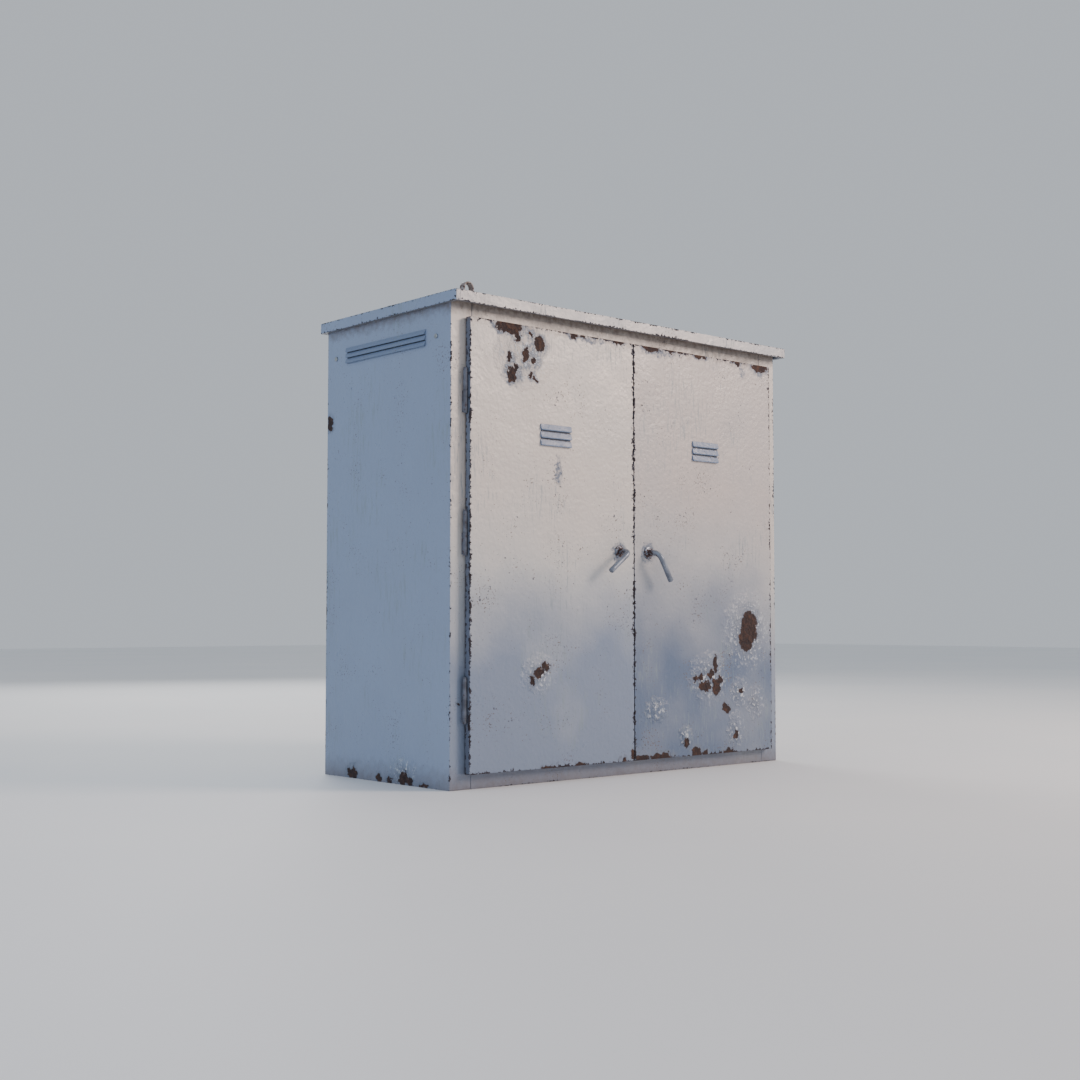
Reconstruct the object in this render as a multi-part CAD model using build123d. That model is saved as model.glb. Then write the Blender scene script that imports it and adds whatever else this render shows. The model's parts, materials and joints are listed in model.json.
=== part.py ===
from build123d import *

import math
import os

# Industrial switchboard cabinet, millimetres.
# Origin: centre of the base, on the floor. +Z up, +X to the right, the doors face -Y.

# ---- Driving dimensions: cabinet ----
body_width = 1000.0
body_depth = 445.0
overall_height = 1000.0
sheet = 2.0  # thickness of body, door and roof sheet

roof_fascia_height = 22.0
roof_overhang_front = 30.0
roof_overhang_side = 11.5
roof_overhang_rear = 15.0
roof_corner_radius = 4.0
roof_drip_return = 8.0
roof_seam_width = 0.8
roof_seam_depth = 0.5
roof_seam_offset = 12.0

wall_flange = 25.0
stile_width = 36.0  # front frame left showing beside a door
frame_lap = 18.0  # frame hidden behind a door edge
frame_lip_depth = 16.0
door_bottom_height = 31.0
door_top_below_roof = 48.0
post_width = 30.0
post_depth = 25.0

# ---- Driving dimensions: doors ----
door_proud = 18.0
door_gap = 2.5
door_back_clearance = 3.0
door_lip = 16.0
gasket_width = 12.0
gasket_clearance = 0.3
stiffener_width = 50.0
stiffener_depth = 11.0
stiffener_flange = 12.0
stiffener_sheet = 1.5
stiffener_end_gap = 22.0
stiffener_heights = (250.0, 640.0)

# ---- Driving dimensions: hinges ----
knuckle_radius = 4.5
knuckle_length = 44.0
hinge_axis_to_door = 5.0
hinge_axis_to_frame = 8.0
pin_radius = 2.5
pin_clearance = 0.05
pin_cap_height = 2.0
knuckle_gap = 0.4
knuckle_web = 5.0
hinge_heights = (178.0, 514.0, 802.0)

# ---- Driving dimensions: door handles and latches ----
handle_height = 488.0
handle_offset = 45.0  # spindle axis from the middle of the door gap
rod_radius = 6.0
rod_reach = 33.0
rod_length = 73.0
rod_bend_radius = 17.0
rod_tip_chamfer = 0.8
left_lever_angle = 53.0  # from straight down, outwards
right_lever_angle = 31.0
escutcheon_radius = 14.0
escutcheon_height = 5.0
bush_radius = 11.0
bush_length = 14.0
spindle_clearance = 0.08
tongue_length = 24.0
tongue_width = 12.0
tongue_thickness = 4.0
tongue_inset = 7.5  # behind the plane of the front frame
tongue_hole_clearance = 0.02
latch_nut_radius = 9.0
latch_nut_height = 5.0
keeper_reach = 13.0
keeper_thickness = 3.0
keeper_height = 12.0
keeper_inset = 3.0
keeper_leaf = 16.0

# ---- Driving dimensions: louvres ----
door_louvre_length = 87.0
door_louvre_pitch = 16.4
door_louvre_height = 13.0
door_louvre_centre = 727.0
side_louvre_front_margin = 83.0
side_louvre_rear_margin = 74.0
side_louvre_pitch = 12.0
side_louvre_height = 10.0
side_louvre_centre = 918.0
louvre_count = 3
louvre_rise = 4.6
louvre_sheet = 1.2
louvre_corner = 4.0
louvre_top_step = 1.4
louvre_inner_step = 0.3
louvre_lip = 2.0

# ---- Driving dimensions: fasteners ----
rear_screw_shares = (0.08, 0.36, 0.64, 0.92)  # of the overall height
side_screw_front_inset = 48.0
side_screw_rear_inset = 35.0
side_screw_height = 916.0
roof_bolt_front_inset = 90.0
roof_bolt_rear_inset = 60.0
screw_head_radius = 5.0
screw_head_height = 3.0
screw_shank_radius = 2.5
screw_shank_length = 10.0
roof_bolt_head_radius = 8.0
roof_bolt_head_height = 5.3
roof_bolt_shank_radius = 4.0
roof_bolt_shank_length = 16.0
washer_radius = 10.0
washer_height = 1.6
hole_clearance = 0.15

# ---- Driving dimensions: lifting lugs ----
lug_hole_radius = 10.0
lug_strap = 3.0
lug_strap_width = 15.0
lug_leg_height = 18.0
lug_inset_side = 56.0
lug_inset_front = 19.5
lug_foot_length = 6.0

# ---- Driving dimensions: base and cable entry ----
base_hole_radius = 6.0
base_hole_spacing_x = 880.0
base_hole_spacing_y = 345.0
base_upstand = 24.0
gland_opening_width = 620.0
gland_opening_depth = 150.0
gland_collar_height = 25.0
gland_collar_lip = 18.0
gland_plate_thickness = 2.5
gland_plate_y = -20.0
gland_count = 5
gland_pitch = 110.0
gland_thread_radius = 12.5
gland_hex_radius = 17.0
gland_hex_height = 9.0
gland_dome_height = 16.0
gland_nut_height = 6.0
gland_bore_radius = 8.5

# ---- Driving dimensions: equipment ----
plate_margin_x = 62.0
plate_bottom = 72.0
plate_top_margin = 68.0
plate_thickness = 2.5
standoff_length = 28.0
standoff_radius = 8.0
stud_radius = 4.0
stud_inset = 24.0
nut_radius = 8.0
nut_height = 6.5
rail_width = 35.0
rail_depth = 7.5
rail_sheet = 1.0
rail_crown_width = 25.0
rail_length = 430.0
rail_heights = (420.0, 190.0)
breaker_count = 5
breaker_width = 54.0
breaker_pitch = 55.0
breaker_height = 85.0
breaker_depth = 62.0
breaker_nose_height = 45.0
breaker_nose_depth = 10.0
breaker_terminal_radius = 3.2
breaker_terminal_depth = 6.0
breaker_terminal_inset = 9.0
toggle_slot_height = 22.0
toggle_slot_floor = 2.0
toggle_axle_radius = 1.5
toggle_axis_inset = 1.0
toggle_pivot_radius = 6.0
toggle_width = 44.0
toggle_reach = 16.0
toggle_thickness = 5.0
toggle_clearance = 0.35
toggle_rest_angle = 40.0
main_switch_width = 110.0
main_switch_height = 160.0
main_switch_depth = 86.0
main_switch_z = 790.0
main_switch_cover = 14.0
main_switch_shoulder = 32.0
main_terminal_radius = 7.0
main_terminal_depth = 9.0
main_terminal_inset = 16.0
main_lever_radius = 7.0
main_lever_thickness = 9.0
main_lever_axle_radius = 2.0
main_lever_axis_inset = 5.0
main_slot_half = 26.0
main_lever_width = 16.0
main_lever_reach = 34.0
busbar_height = 20.0
busbar_thickness = 5.0
busbar_length = 560.0
busbar_top_z = 650.0
busbar_step_z = 38.0
busbar_step_y = 14.0
busbar_first_y = 62.0  # front of the mounting plate to the back of the first bar
support_width = 18.0
support_offset = 230.0
link_width = 15.0
link_thickness = 3.0
link_pitch = 35.0
comb_height = 12.0
comb_cover = 6.0
lead_radius = 2.6
feeder_radius = 4.0
feeder_pitch = 30.0
feeder_first_x = 20.0
lead_depth = 15.0
lead_drop = 40.0
terminal_count = 18
terminal_width = 9.8
terminal_pitch = 10.0
terminal_height = 46.0
terminal_depth = 42.0
terminal_nose = 12.0
terminal_hole_radius = 3.0
terminal_hole_depth = 6.0
terminal_hole_offset = 16.5
bar_length = 200.0
bar_size = 12.0
bar_duct_gap = 12.0
bar_standoff = 25.0
bar_insulator_radius = 9.0
neutral_bar_z = 250.0
earth_bar_z = 120.0
bar_screw_count = 12
bar_screw_radius = 3.0
bar_screw_height = 3.0
duct_width = 40.0
duct_depth = 60.0
duct_wall = 2.0
duct_slot_width = 6.0
duct_slot_pitch = 24.0
duct_lid_lip = 8.0
duct_stud_gap = 4.0
duct_end_gap = 60.0
duct_clearance = 0.3

# ---- Planes worked out from the driving dimensions ----
half_width = body_width / 2
front = -body_depth / 2
rear = body_depth / 2
wall_top = overall_height - sheet
stile_total = stile_width + frame_lap
opening_half_width = half_width - stile_total
opening_bottom = door_bottom_height + frame_lap
door_top = overall_height - door_top_below_roof
opening_top = door_top - frame_lap
door_face = front - door_proud
door_back = front - door_back_clearance
door_edge = half_width - stile_width
door_width = door_edge - door_gap / 2
hinge_axis_x = door_edge + hinge_axis_to_door
hinge_axis_y = front - hinge_axis_to_frame
plate_back = rear - sheet - standoff_length
plate_front = plate_back - plate_thickness
plate_half_width = half_width - plate_margin_x
plate_top = overall_height - plate_top_margin


# ---- Shared shapes ----
def block(x0, x1, y0, y1, z0, z1):
    """Rectangular block between two opposite corners."""
    return Pos((x0 + x1) / 2, (y0 + y1) / 2, (z0 + z1) / 2) * Box(abs(x1 - x0), abs(y1 - y0), abs(z1 - z0))


def post_z(x, y, z0, z1, radius):
    """Round bar standing along Z."""
    return Pos(x, y, (z0 + z1) / 2) * Cylinder(radius, abs(z1 - z0))


def post_y(x, z, y0, y1, radius):
    """Round bar lying along Y."""
    return Pos(x, (y0 + y1) / 2, z) * Rot(90, 0, 0) * Cylinder(radius, abs(y1 - y0))


def post_x(y, z, x0, x1, radius):
    """Round bar lying along X."""
    return Pos((x0 + x1) / 2, y, z) * Rot(0, 90, 0) * Cylinder(radius, abs(x1 - x0))


def hexagon_z(x, y, z0, z1, radius):
    """Hexagonal bar standing along Z, sized across its corners."""
    return Pos(x, y, z0) * extrude(RegularPolygon(radius, 6), z1 - z0)


def hexagon_y(x, z, y0, y1, radius):
    """Hexagonal bar lying along Y, sized across its corners."""
    return Plane((x, y1, z), z_dir=(0, -1, 0)) * extrude(RegularPolygon(radius, 6), y1 - y0)


def group(solids):
    """Separate solids kept apart in one node."""
    return Compound([solid for shape in solids for solid in shape.solids()])


def mirrored(shape):
    """The same shape on the other side of the cabinet's middle plane."""
    return mirror(shape, about=Plane.YZ)


def save(name, shape):
    """Write one node."""
    export_step(shape, f"parts/{name}.step")


# ---- Louvres ----
def louvre_prism(length, height, drop, rise, step, corner):
    """Hood-shaped solid: the wall is the XZ plane, the hood stands out to -Y and its mouth is at -Z."""
    outline = Plane.XZ * Pos(0, -height / 2) * Rectangle(length, height)
    pad = extrude(outline, rise)
    low = pad.edges().filter_by(Axis.Y).group_by(Axis.Z)[0]
    pad = fillet(low, corner)
    slope = Polyline(
        (0, 0, 0), (0, -step, 0), (0, -rise, -height + drop), (0, -rise, -height), (0, 0, -height), close=True
    )
    wedge = extrude(Plane.YZ * make_face(Plane.YZ.to_local_coords(slope)), length / 2, both=True)
    return pad & wedge


def louvre_row(length, height, pitch, wall):
    """Hoods to add to a wall and the hollows to cut from it, centred on the origin."""
    hoods = []
    hollows = []
    for row in range(louvre_count):
        top = pitch * (louvre_count - 1) / 2 - row * pitch + height / 2
        outer = louvre_prism(length, height, louvre_lip, louvre_rise, louvre_top_step, louvre_corner)
        inner = Pos(0, 0, -louvre_sheet) * louvre_prism(
            length - 2 * louvre_sheet, height - 2 * louvre_sheet, louvre_lip - louvre_sheet,
            louvre_rise - louvre_sheet, louvre_inner_step, louvre_corner - louvre_sheet,
        )
        half_mouth = length / 2 - louvre_corner
        mouth_top = louvre_corner - height
        mouth = block(-half_mouth, half_mouth, louvre_sheet - louvre_rise, 0, -height - 1, mouth_top)
        slot = block(-half_mouth, half_mouth, 0, wall + 1, mouth_top, -2 * louvre_sheet)
        hoods.append(Pos(0, 0, top) * outer)
        hollows.append(Pos(0, 0, top) * (inner + mouth + slot))
    return hoods, hollows


# ---- Fasteners ----
def screw(head_base, direction):
    """Pan-head screw: the head sits on head_base and the shank runs against direction."""
    plane = Plane(head_base, z_dir=direction)
    head = Cylinder(screw_head_radius, screw_head_height, align=(Align.CENTER, Align.CENTER, Align.MIN))
    rim = head.edges().filter_by(GeomType.CIRCLE).sort_by(Axis.Z)[-1]
    head = fillet(rim, screw_head_height * 0.5)
    shank = Cylinder(
        screw_shank_radius, screw_shank_length, align=(Align.CENTER, Align.CENTER, Align.MAX)
    )
    return plane * (head + shank)


def screw_hole(head_base, direction):
    """Clearance hole for a pan-head screw."""
    plane = Plane(head_base, z_dir=direction)
    radius = screw_shank_radius + hole_clearance
    return plane * Cylinder(radius, 4 * sheet + screw_shank_length)


# ---- Walls ----
rear_screw_places = [
    (side * (half_width - wall_flange / 2), z)
    for side in (-1, 1)
    for z in (overall_height * share for share in rear_screw_shares)
]
side_screw_places = [
    (front + side_screw_front_inset, side_screw_height),
    (rear - side_screw_rear_inset, side_screw_height),
]


def side_wall(side):
    """Folded side wall with its front stile, its flanges and three pressed louvres."""
    outer = side * half_width
    inner = side * (half_width - sheet)
    lip = side * opening_half_width
    wall = block(outer, inner, front, rear - sheet, 0, wall_top)
    wall += block(outer, lip, front, front + sheet, 0, wall_top)
    wall += block(lip, lip + side * sheet, front, front + frame_lip_depth, 0, wall_top)
    wall += block(outer, outer - side * wall_flange, rear - 2 * sheet, rear - sheet, 0, wall_top)
    wall += block(outer, outer - side * wall_flange, front, rear - sheet, wall_top - sheet, wall_top)
    louvre_front = front + side_louvre_front_margin
    louvre_rear = rear - side_louvre_rear_margin
    hoods, hollows = louvre_row(louvre_rear - louvre_front, side_louvre_height, side_louvre_pitch, sheet)
    place = Pos(outer, (louvre_front + louvre_rear) / 2, side_louvre_centre) * Rot(0, 0, 90 * side)
    wall += [place * hood for hood in hoods]
    wall -= [place * hollow for hollow in hollows]
    wall -= [screw_hole((x, rear, z), (0, 1, 0)) for x, z in rear_screw_places if x * side > 0]
    wall -= [screw_hole((outer, y, z), (side, 0, 0)) for y, z in side_screw_places]
    wall -= [roof_bolt_hole(x, y) for x, y in roof_bolt_places if x * side > 0]
    return wall


roof_bolt_places = [
    (side * (half_width - wall_flange / 2), y)
    for side in (-1, 1)
    for y in (front + roof_bolt_front_inset, 0.0, rear - roof_bolt_rear_inset)
]


def roof_bolt_hole(x, y):
    """Clearance hole for one roof bolt."""
    return post_z(x, y, wall_top - 2 * sheet, overall_height + sheet, roof_bolt_shank_radius + hole_clearance)


def rear_wall():
    """Rear sheet, screwed over the flanges of both side walls."""
    wall = block(-half_width, half_width, rear - sheet, rear, 0, wall_top)
    wall -= [screw_hole((x, rear, z), (0, 1, 0)) for x, z in rear_screw_places]
    wall -= [post_y(x, z, rear - 2 * sheet, rear + sheet, stud_radius) for x, z in stud_places]
    return wall


def base_pan():
    """Base sheet with upstands at its rim and a raised collar round the cable entry."""
    rim_x = half_width - sheet
    rim_front = front + sheet
    rim_rear = rear - 2 * sheet
    pan = block(-rim_x, rim_x, rim_front, rim_rear, 0, sheet)
    pan += block(-rim_x, -rim_x + sheet, rim_front, rim_rear, 0, base_upstand)
    pan += block(rim_x - sheet, rim_x, rim_front, rim_rear, 0, base_upstand)
    pan += block(-rim_x, rim_x, rim_rear - sheet, rim_rear, 0, base_upstand)
    half_x = gland_opening_width / 2
    half_y = gland_opening_depth / 2
    y0 = gland_plate_y - half_y
    y1 = gland_plate_y + half_y
    pan += block(-half_x - sheet, half_x + sheet, y0 - sheet, y1 + sheet, 0, gland_collar_height)
    pan += block(
        -half_x - gland_collar_lip, half_x + gland_collar_lip, y0 - gland_collar_lip, y1 + gland_collar_lip,
        gland_collar_height - sheet, gland_collar_height,
    )
    pan -= block(-half_x, half_x, y0, y1, -1, gland_collar_height + 1)
    for x in (-base_hole_spacing_x / 2, base_hole_spacing_x / 2):
        for y in (-base_hole_spacing_y / 2, base_hole_spacing_y / 2):
            pan -= post_z(x, y, -sheet, 2 * sheet, base_hole_radius)
    pan -= [screw_hole(place, (0, 0, 1)) for place in gland_screw_places]
    return pan - stile_notches()


def stile_notches():
    """Room in the base for the lips of both stiles and for the rear flanges of both side walls."""
    notches = []
    for side in (-1, 1):
        lip = side * opening_half_width
        corner = side * half_width
        lip_rear = front + frame_lip_depth
        notches.append(block(lip, lip + side * sheet, front, lip_rear, -1, base_upstand + 1))
        notches.append(
            block(corner, corner - side * wall_flange, rear - 2 * sheet, rear, -1, base_upstand + 1)
        )
    return notches


def frame_rail(z0, z1, lip_at):
    """Folded rail between the stiles with a lip turned in at the door opening."""
    inner_half = opening_half_width
    rail = block(-inner_half, inner_half, front, front + sheet, z0, z1)
    z_lip = (lip_at, lip_at + sheet) if lip_at == z0 else (lip_at - sheet, lip_at)
    rail += block(-inner_half, inner_half, front, front + frame_lip_depth, z_lip[0], z_lip[1])
    return rail


def centre_post():
    """Rectangular tube between the rails, behind the meeting edges of the doors."""
    half = post_width / 2
    tube = block(-half, half, front, front + post_depth, opening_bottom, opening_top)
    tube -= block(
        -half + sheet, half - sheet, front + sheet, front + post_depth - sheet, opening_bottom, opening_top
    )
    return tube


def latch_keepers():
    """Angle keepers on both flanks of the centre post, which the latch tongues turn behind."""
    keepers = []
    for side in (-1, 1):
        flank = side * post_width / 2
        y0 = front + keeper_inset
        z0 = handle_height
        plate = block(flank, flank + side * keeper_reach, y0, y0 + keeper_thickness, z0, z0 + keeper_height)
        leaf = block(
            flank, flank + side * keeper_thickness, y0, y0 + keeper_leaf,
            z0 + keeper_height, z0 + 3 * keeper_height,
        )
        bridge = block(
            flank, flank + side * keeper_thickness, y0, y0 + keeper_thickness, z0, z0 + 2 * keeper_height
        )
        keepers.append(plate + leaf + bridge)
    return group(keepers)


# ---- Roof ----
def roof_cap():
    """Folded rain roof with a fascia on four sides and a drip return under it."""
    x = half_width + roof_overhang_side
    y0 = front - roof_overhang_front
    y1 = rear + roof_overhang_rear
    skirt = block(-x, x, y0, y1, overall_height - roof_fascia_height, overall_height)
    skirt = fillet(skirt.edges().filter_by(Axis.Z), roof_corner_radius)
    hollow = block(
        -x + sheet, x - sheet, y0 + sheet, y1 - sheet,
        overall_height - roof_fascia_height + sheet, wall_top,
    )
    hollow = fillet(hollow.edges().filter_by(Axis.Z), roof_corner_radius - sheet)
    mouth = block(
        -half_width - 0.5, half_width + 0.5, front - roof_overhang_front + roof_drip_return, rear + 0.5,
        overall_height - roof_fascia_height - 1, wall_top,
    )
    roof = skirt - hollow - mouth
    for side in (-1, 1):
        seam_x = side * (x - roof_seam_offset)
        roof -= block(
            seam_x - roof_seam_width / 2, seam_x + roof_seam_width / 2, y0, y0 + roof_seam_depth,
            overall_height - roof_fascia_height, overall_height,
        )
    roof -= [roof_bolt_hole(bx, by) for bx, by in roof_bolt_places]
    return roof


def roof_bolt(x, y):
    """Hexagon bolt with its washer, from the roof into the top flange of a side wall."""
    head_base = overall_height + washer_height
    bolt = hexagon_z(x, y, head_base, head_base + roof_bolt_head_height, roof_bolt_head_radius)
    bolt += post_z(x, y, overall_height, head_base, washer_radius)
    bolt += post_z(x, y, overall_height - roof_bolt_shank_length, head_base, roof_bolt_shank_radius)
    return bolt


def lifting_lug(x, y):
    """Strap hoop welded to the roof, with its eye along Y."""
    outer = lug_hole_radius + lug_strap
    z0 = overall_height
    eye = z0 + lug_leg_height
    hoop = block(-outer, outer, -lug_strap_width / 2, lug_strap_width / 2, z0, eye)
    hoop += post_y(0, eye, -lug_strap_width / 2, lug_strap_width / 2, outer)
    hoop -= block(-lug_hole_radius, lug_hole_radius, -lug_strap_width, lug_strap_width, z0, eye)
    hoop -= post_y(0, eye, -lug_strap_width, lug_strap_width, lug_hole_radius)
    for side in (-1, 1):
        hoop += block(
            side * lug_hole_radius, side * (outer + lug_foot_length),
            -lug_strap_width / 2, lug_strap_width / 2, z0, z0 + lug_strap,
        )
    return Pos(x, y, 0) * hoop


# ---- Doors, drawn for the left side ----
def door_leaf():
    """Folded tray with lips and three pressed louvres."""
    x0 = -door_edge
    x1 = x0 + door_width
    z0 = door_bottom_height
    z1 = door_top
    leaf = block(x0, x1, door_face, door_back, z0, z1)
    leaf -= block(x0 + sheet, x1 - sheet, door_face + sheet, door_back - sheet, z0 + sheet, z1 - sheet)
    leaf -= block(
        x0 + door_lip, x1 - door_lip, door_face + sheet, door_back + 1, z0 + door_lip, z1 - door_lip
    )
    hoods, hollows = louvre_row(door_louvre_length, door_louvre_height, door_louvre_pitch, sheet)
    place = Pos((x0 + x1) / 2, door_face, door_louvre_centre)
    leaf += [place * hood for hood in hoods]
    leaf -= [place * hollow for hollow in hollows]
    leaf -= post_y(-handle_offset, handle_height, door_face - 1, door_face + 2 * sheet, rod_radius + 0.5)
    return leaf


def door_gasket():
    """Foam strip on the lips, just clear of the frame."""
    margin = (door_lip - gasket_width) / 2
    x0 = -door_edge + margin
    x1 = -door_edge + door_width - margin
    z0 = door_bottom_height + margin
    z1 = door_top - margin
    y1 = front - gasket_clearance
    ring = block(x0, x1, door_back, y1, z0, z1)
    return ring - block(
        x0 + gasket_width, x1 - gasket_width, door_back - 1, y1 + 1, z0 + gasket_width, z1 - gasket_width
    )


def door_stiffeners():
    """Top-hat channels welded across the inside of the door skin."""
    x0 = -door_edge + stiffener_end_gap
    x1 = -door_edge + door_width - stiffener_end_gap
    y0 = door_face + sheet
    y1 = y0 + stiffener_depth
    channels = []
    for z in stiffener_heights:
        half = stiffener_width / 2
        crown = block(x0, x1, y0, y1, z - half + stiffener_flange, z + half - stiffener_flange)
        hat = crown + block(x0, x1, y0, y0 + stiffener_sheet, z - half, z + half)
        hat -= block(
            x0 - 1, x1 + 1, y0 - 1, y1 - stiffener_sheet,
            z - half + stiffener_flange + stiffener_sheet, z + half - stiffener_flange - stiffener_sheet,
        )
        channels.append(hat)
    return group(channels)


def hinge_knuckles(on_door):
    """Half of each hinge barrel with the web that is welded to the door or to the frame."""
    knuckles = []
    for z in hinge_heights:
        z0 = z + knuckle_gap / 2 if on_door else z - knuckle_length
        z1 = z + knuckle_length if on_door else z - knuckle_gap / 2
        barrel = post_z(-hinge_axis_x, hinge_axis_y, z0, z1, knuckle_radius)
        if on_door:
            web = block(
                -hinge_axis_x, -door_edge,
                hinge_axis_y - knuckle_web / 2, hinge_axis_y + knuckle_web / 2, z0, z1,
            )
        else:
            web = block(
                -hinge_axis_x - knuckle_web / 2, -hinge_axis_x + knuckle_web / 2, hinge_axis_y, front, z0, z1
            )
        knuckle = barrel + web
        bore = pin_radius + pin_clearance if on_door else pin_radius
        knuckles.append(knuckle - post_z(-hinge_axis_x, hinge_axis_y, z0 - 1, z1 + 1, bore))
    return group(knuckles)


def hinge_pins():
    """Pins pressed into the frame knuckles, with a domed cap above each door knuckle."""
    pins = []
    for z in hinge_heights:
        top = z + knuckle_length + knuckle_gap
        pin = post_z(-hinge_axis_x, hinge_axis_y, z - knuckle_length - pin_cap_height, top, pin_radius)
        bottom = z - knuckle_length
        for cap_base, cap_top in ((top, top + pin_cap_height), (bottom - pin_cap_height, bottom)):
            pin += post_z(-hinge_axis_x, hinge_axis_y, cap_base, cap_top, knuckle_radius - 0.5)
        pins.append(pin)
    return group(pins)


# ---- Handles ----
def spindle_end():
    """Depth of the inner end of a handle spindle."""
    return front + tongue_inset + tongue_thickness + latch_nut_height + 1.0


def handle_lever(x, angle):
    """Round bar bent from the spindle into the lever, lying outwards from straight down by angle."""
    side = 1 if x > 0 else -1
    swing = math.radians(angle)
    tip_x = x + side * rod_length * math.sin(swing)
    tip_z = handle_height - rod_length * math.cos(swing)
    y_lever = door_face - rod_reach
    path = FilletPolyline(
        (x, spindle_end(), handle_height), (x, y_lever, handle_height), (tip_x, y_lever, tip_z),
        radius=rod_bend_radius,
    )
    rod = sweep(Plane(path @ 0, z_dir=path % 0) * Circle(rod_radius), path=path)
    tip = rod.faces().filter_by(GeomType.PLANE).sort_by(Axis.Y)[0]
    return chamfer(tip.edges(), rod_tip_chamfer)


def escutcheon(x):
    """Round rosette on the door skin round the spindle."""
    disc = post_y(x, handle_height, door_face - escutcheon_height, door_face, escutcheon_radius)
    rim = disc.edges().filter_by(GeomType.CIRCLE).sort_by(Axis.Y)[0]
    disc = fillet(rim, escutcheon_height * 0.4)
    return disc - post_y(
        x, handle_height, door_face - escutcheon_height - 1, door_face + 1, rod_radius + spindle_clearance
    )


def spindle_bush(x):
    """Bearing bush welded inside the door skin."""
    y0 = door_face + sheet
    bush = post_y(x, handle_height, y0, y0 + bush_length, bush_radius)
    return bush - post_y(x, handle_height, y0 - 1, y0 + bush_length + 1, rod_radius + spindle_clearance)


def latch_tongue(x, angle):
    """Flat tongue on the spindle, level with the post when its lever hangs straight down."""
    side = 1 if x > 0 else -1
    y0 = front + tongue_inset
    y1 = y0 + tongue_thickness
    half = tongue_width / 2
    arm = block(0, -side * (tongue_length - half), y0, y1, -half, half)
    arm += post_y(-side * (tongue_length - half), 0, y0, y1, half)
    arm += post_y(0, 0, y0, y1, tongue_width * 0.8)
    arm -= post_y(0, 0, y0 - 1, y1 + 1, rod_radius + tongue_hole_clearance)
    return Pos(x, 0, handle_height) * Rot(0, -side * angle, 0) * arm


def latch_nut(x):
    """Nut that holds the tongue on its spindle."""
    y0 = front + tongue_inset + tongue_thickness
    nut = hexagon_y(x, handle_height, y0, y0 + latch_nut_height, latch_nut_radius)
    bore_radius = rod_radius + tongue_hole_clearance
    return nut - post_y(x, handle_height, y0 - 1, y0 + latch_nut_height + 1, bore_radius)


# ---- Cable entry ----
gland_places = [(gland_count - 1) / 2 * -gland_pitch + i * gland_pitch for i in range(gland_count)]
gland_plate_z = gland_collar_height
gland_screw_y = gland_opening_depth / 2 + gland_collar_lip / 2
gland_screw_z = gland_plate_z + gland_plate_thickness
gland_screw_places = [
    (x, gland_plate_y + y_side * gland_screw_y, gland_screw_z)
    for y_side in (-1, 1)
    for x in (-gland_opening_width / 2, 0.0, gland_opening_width / 2)
]


def gland_plate():
    """Removable plate over the collar, with a hole for each gland."""
    half_x = gland_opening_width / 2 + gland_collar_lip
    half_y = gland_opening_depth / 2 + gland_collar_lip
    z0 = gland_plate_z
    z1 = z0 + gland_plate_thickness
    bore_radius = gland_thread_radius + hole_clearance
    plate = block(-half_x, half_x, gland_plate_y - half_y, gland_plate_y + half_y, z0, z1)
    plate -= [post_z(x, gland_plate_y, z0 - 1, z1 + 1, bore_radius) for x in gland_places]
    return plate - [screw_hole(place, (0, 0, 1)) for place in gland_screw_places]


def cable_gland(x):
    """Gland with its hexagon and dome above the plate and its locknut below."""
    z0 = gland_plate_z + gland_plate_thickness
    hex_top = z0 + gland_hex_height
    dome_top = hex_top + gland_dome_height
    body = hexagon_z(x, gland_plate_y, z0, hex_top, gland_hex_radius)
    body += post_z(x, gland_plate_y, hex_top, dome_top, gland_hex_radius * 0.82)
    top = body.edges().filter_by(GeomType.CIRCLE).sort_by(Axis.Z)[-1]
    body = fillet(top, 3.0)
    nut_top = gland_plate_z
    body += post_z(x, gland_plate_y, nut_top - gland_nut_height - 2, z0, gland_thread_radius)
    body += hexagon_z(x, gland_plate_y, nut_top - gland_nut_height, nut_top, gland_hex_radius)
    return body - post_z(x, gland_plate_y, 0, z0 + 60, gland_bore_radius)


def gland_seal(x):
    """Closed rubber seal that fills the bore of an unused gland."""
    top = gland_plate_z + gland_plate_thickness + gland_hex_height + gland_dome_height
    return post_z(x, gland_plate_y, gland_plate_z, top - 1.5, gland_bore_radius)


# ---- Mounting plate ----
stud_places = [
    (side * (plate_half_width - stud_inset), z)
    for side in (-1, 1)
    for z in (plate_bottom + stud_inset, (plate_bottom + plate_top) / 2, plate_top - stud_inset)
]


def mounting_plate():
    """Equipment plate on studs in front of the rear wall."""
    plate = block(-plate_half_width, plate_half_width, plate_front, plate_back, plate_bottom, plate_top)
    bore_radius = stud_radius + hole_clearance
    return plate - [post_y(x, z, plate_front - 1, plate_back + 1, bore_radius) for x, z in stud_places]


def standoff(x, z):
    """Spacer with its stud, from the rear wall through the plate."""
    spacer = post_y(x, z, plate_back, rear - sheet, standoff_radius)
    return spacer + post_y(x, z, plate_front - nut_height - 3, rear, stud_radius)


def stud_nut(x, z):
    """Nut on a stud in front of the plate."""
    nut = hexagon_y(x, z, plate_front - nut_height, plate_front, nut_radius)
    return nut - post_y(x, z, plate_front - nut_height - 1, plate_front + 1, stud_radius)


def din_rail(length, z):
    """Top-hat rail, open to the plate."""
    y0 = plate_front - rail_depth
    half = rail_width / 2
    crown = rail_crown_width / 2
    rail = block(-length / 2, length / 2, y0, plate_front, z - crown, z + crown)
    rail -= block(
        -length / 2 - 1, length / 2 + 1, y0 - 1, plate_front - rail_sheet,
        z - crown + rail_sheet, z + crown - rail_sheet,
    )
    for sign in (-1, 1):
        rail += block(-length / 2, length / 2, y0, y0 + rail_sheet, z + sign * crown, z + sign * half)
    return rail


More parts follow.
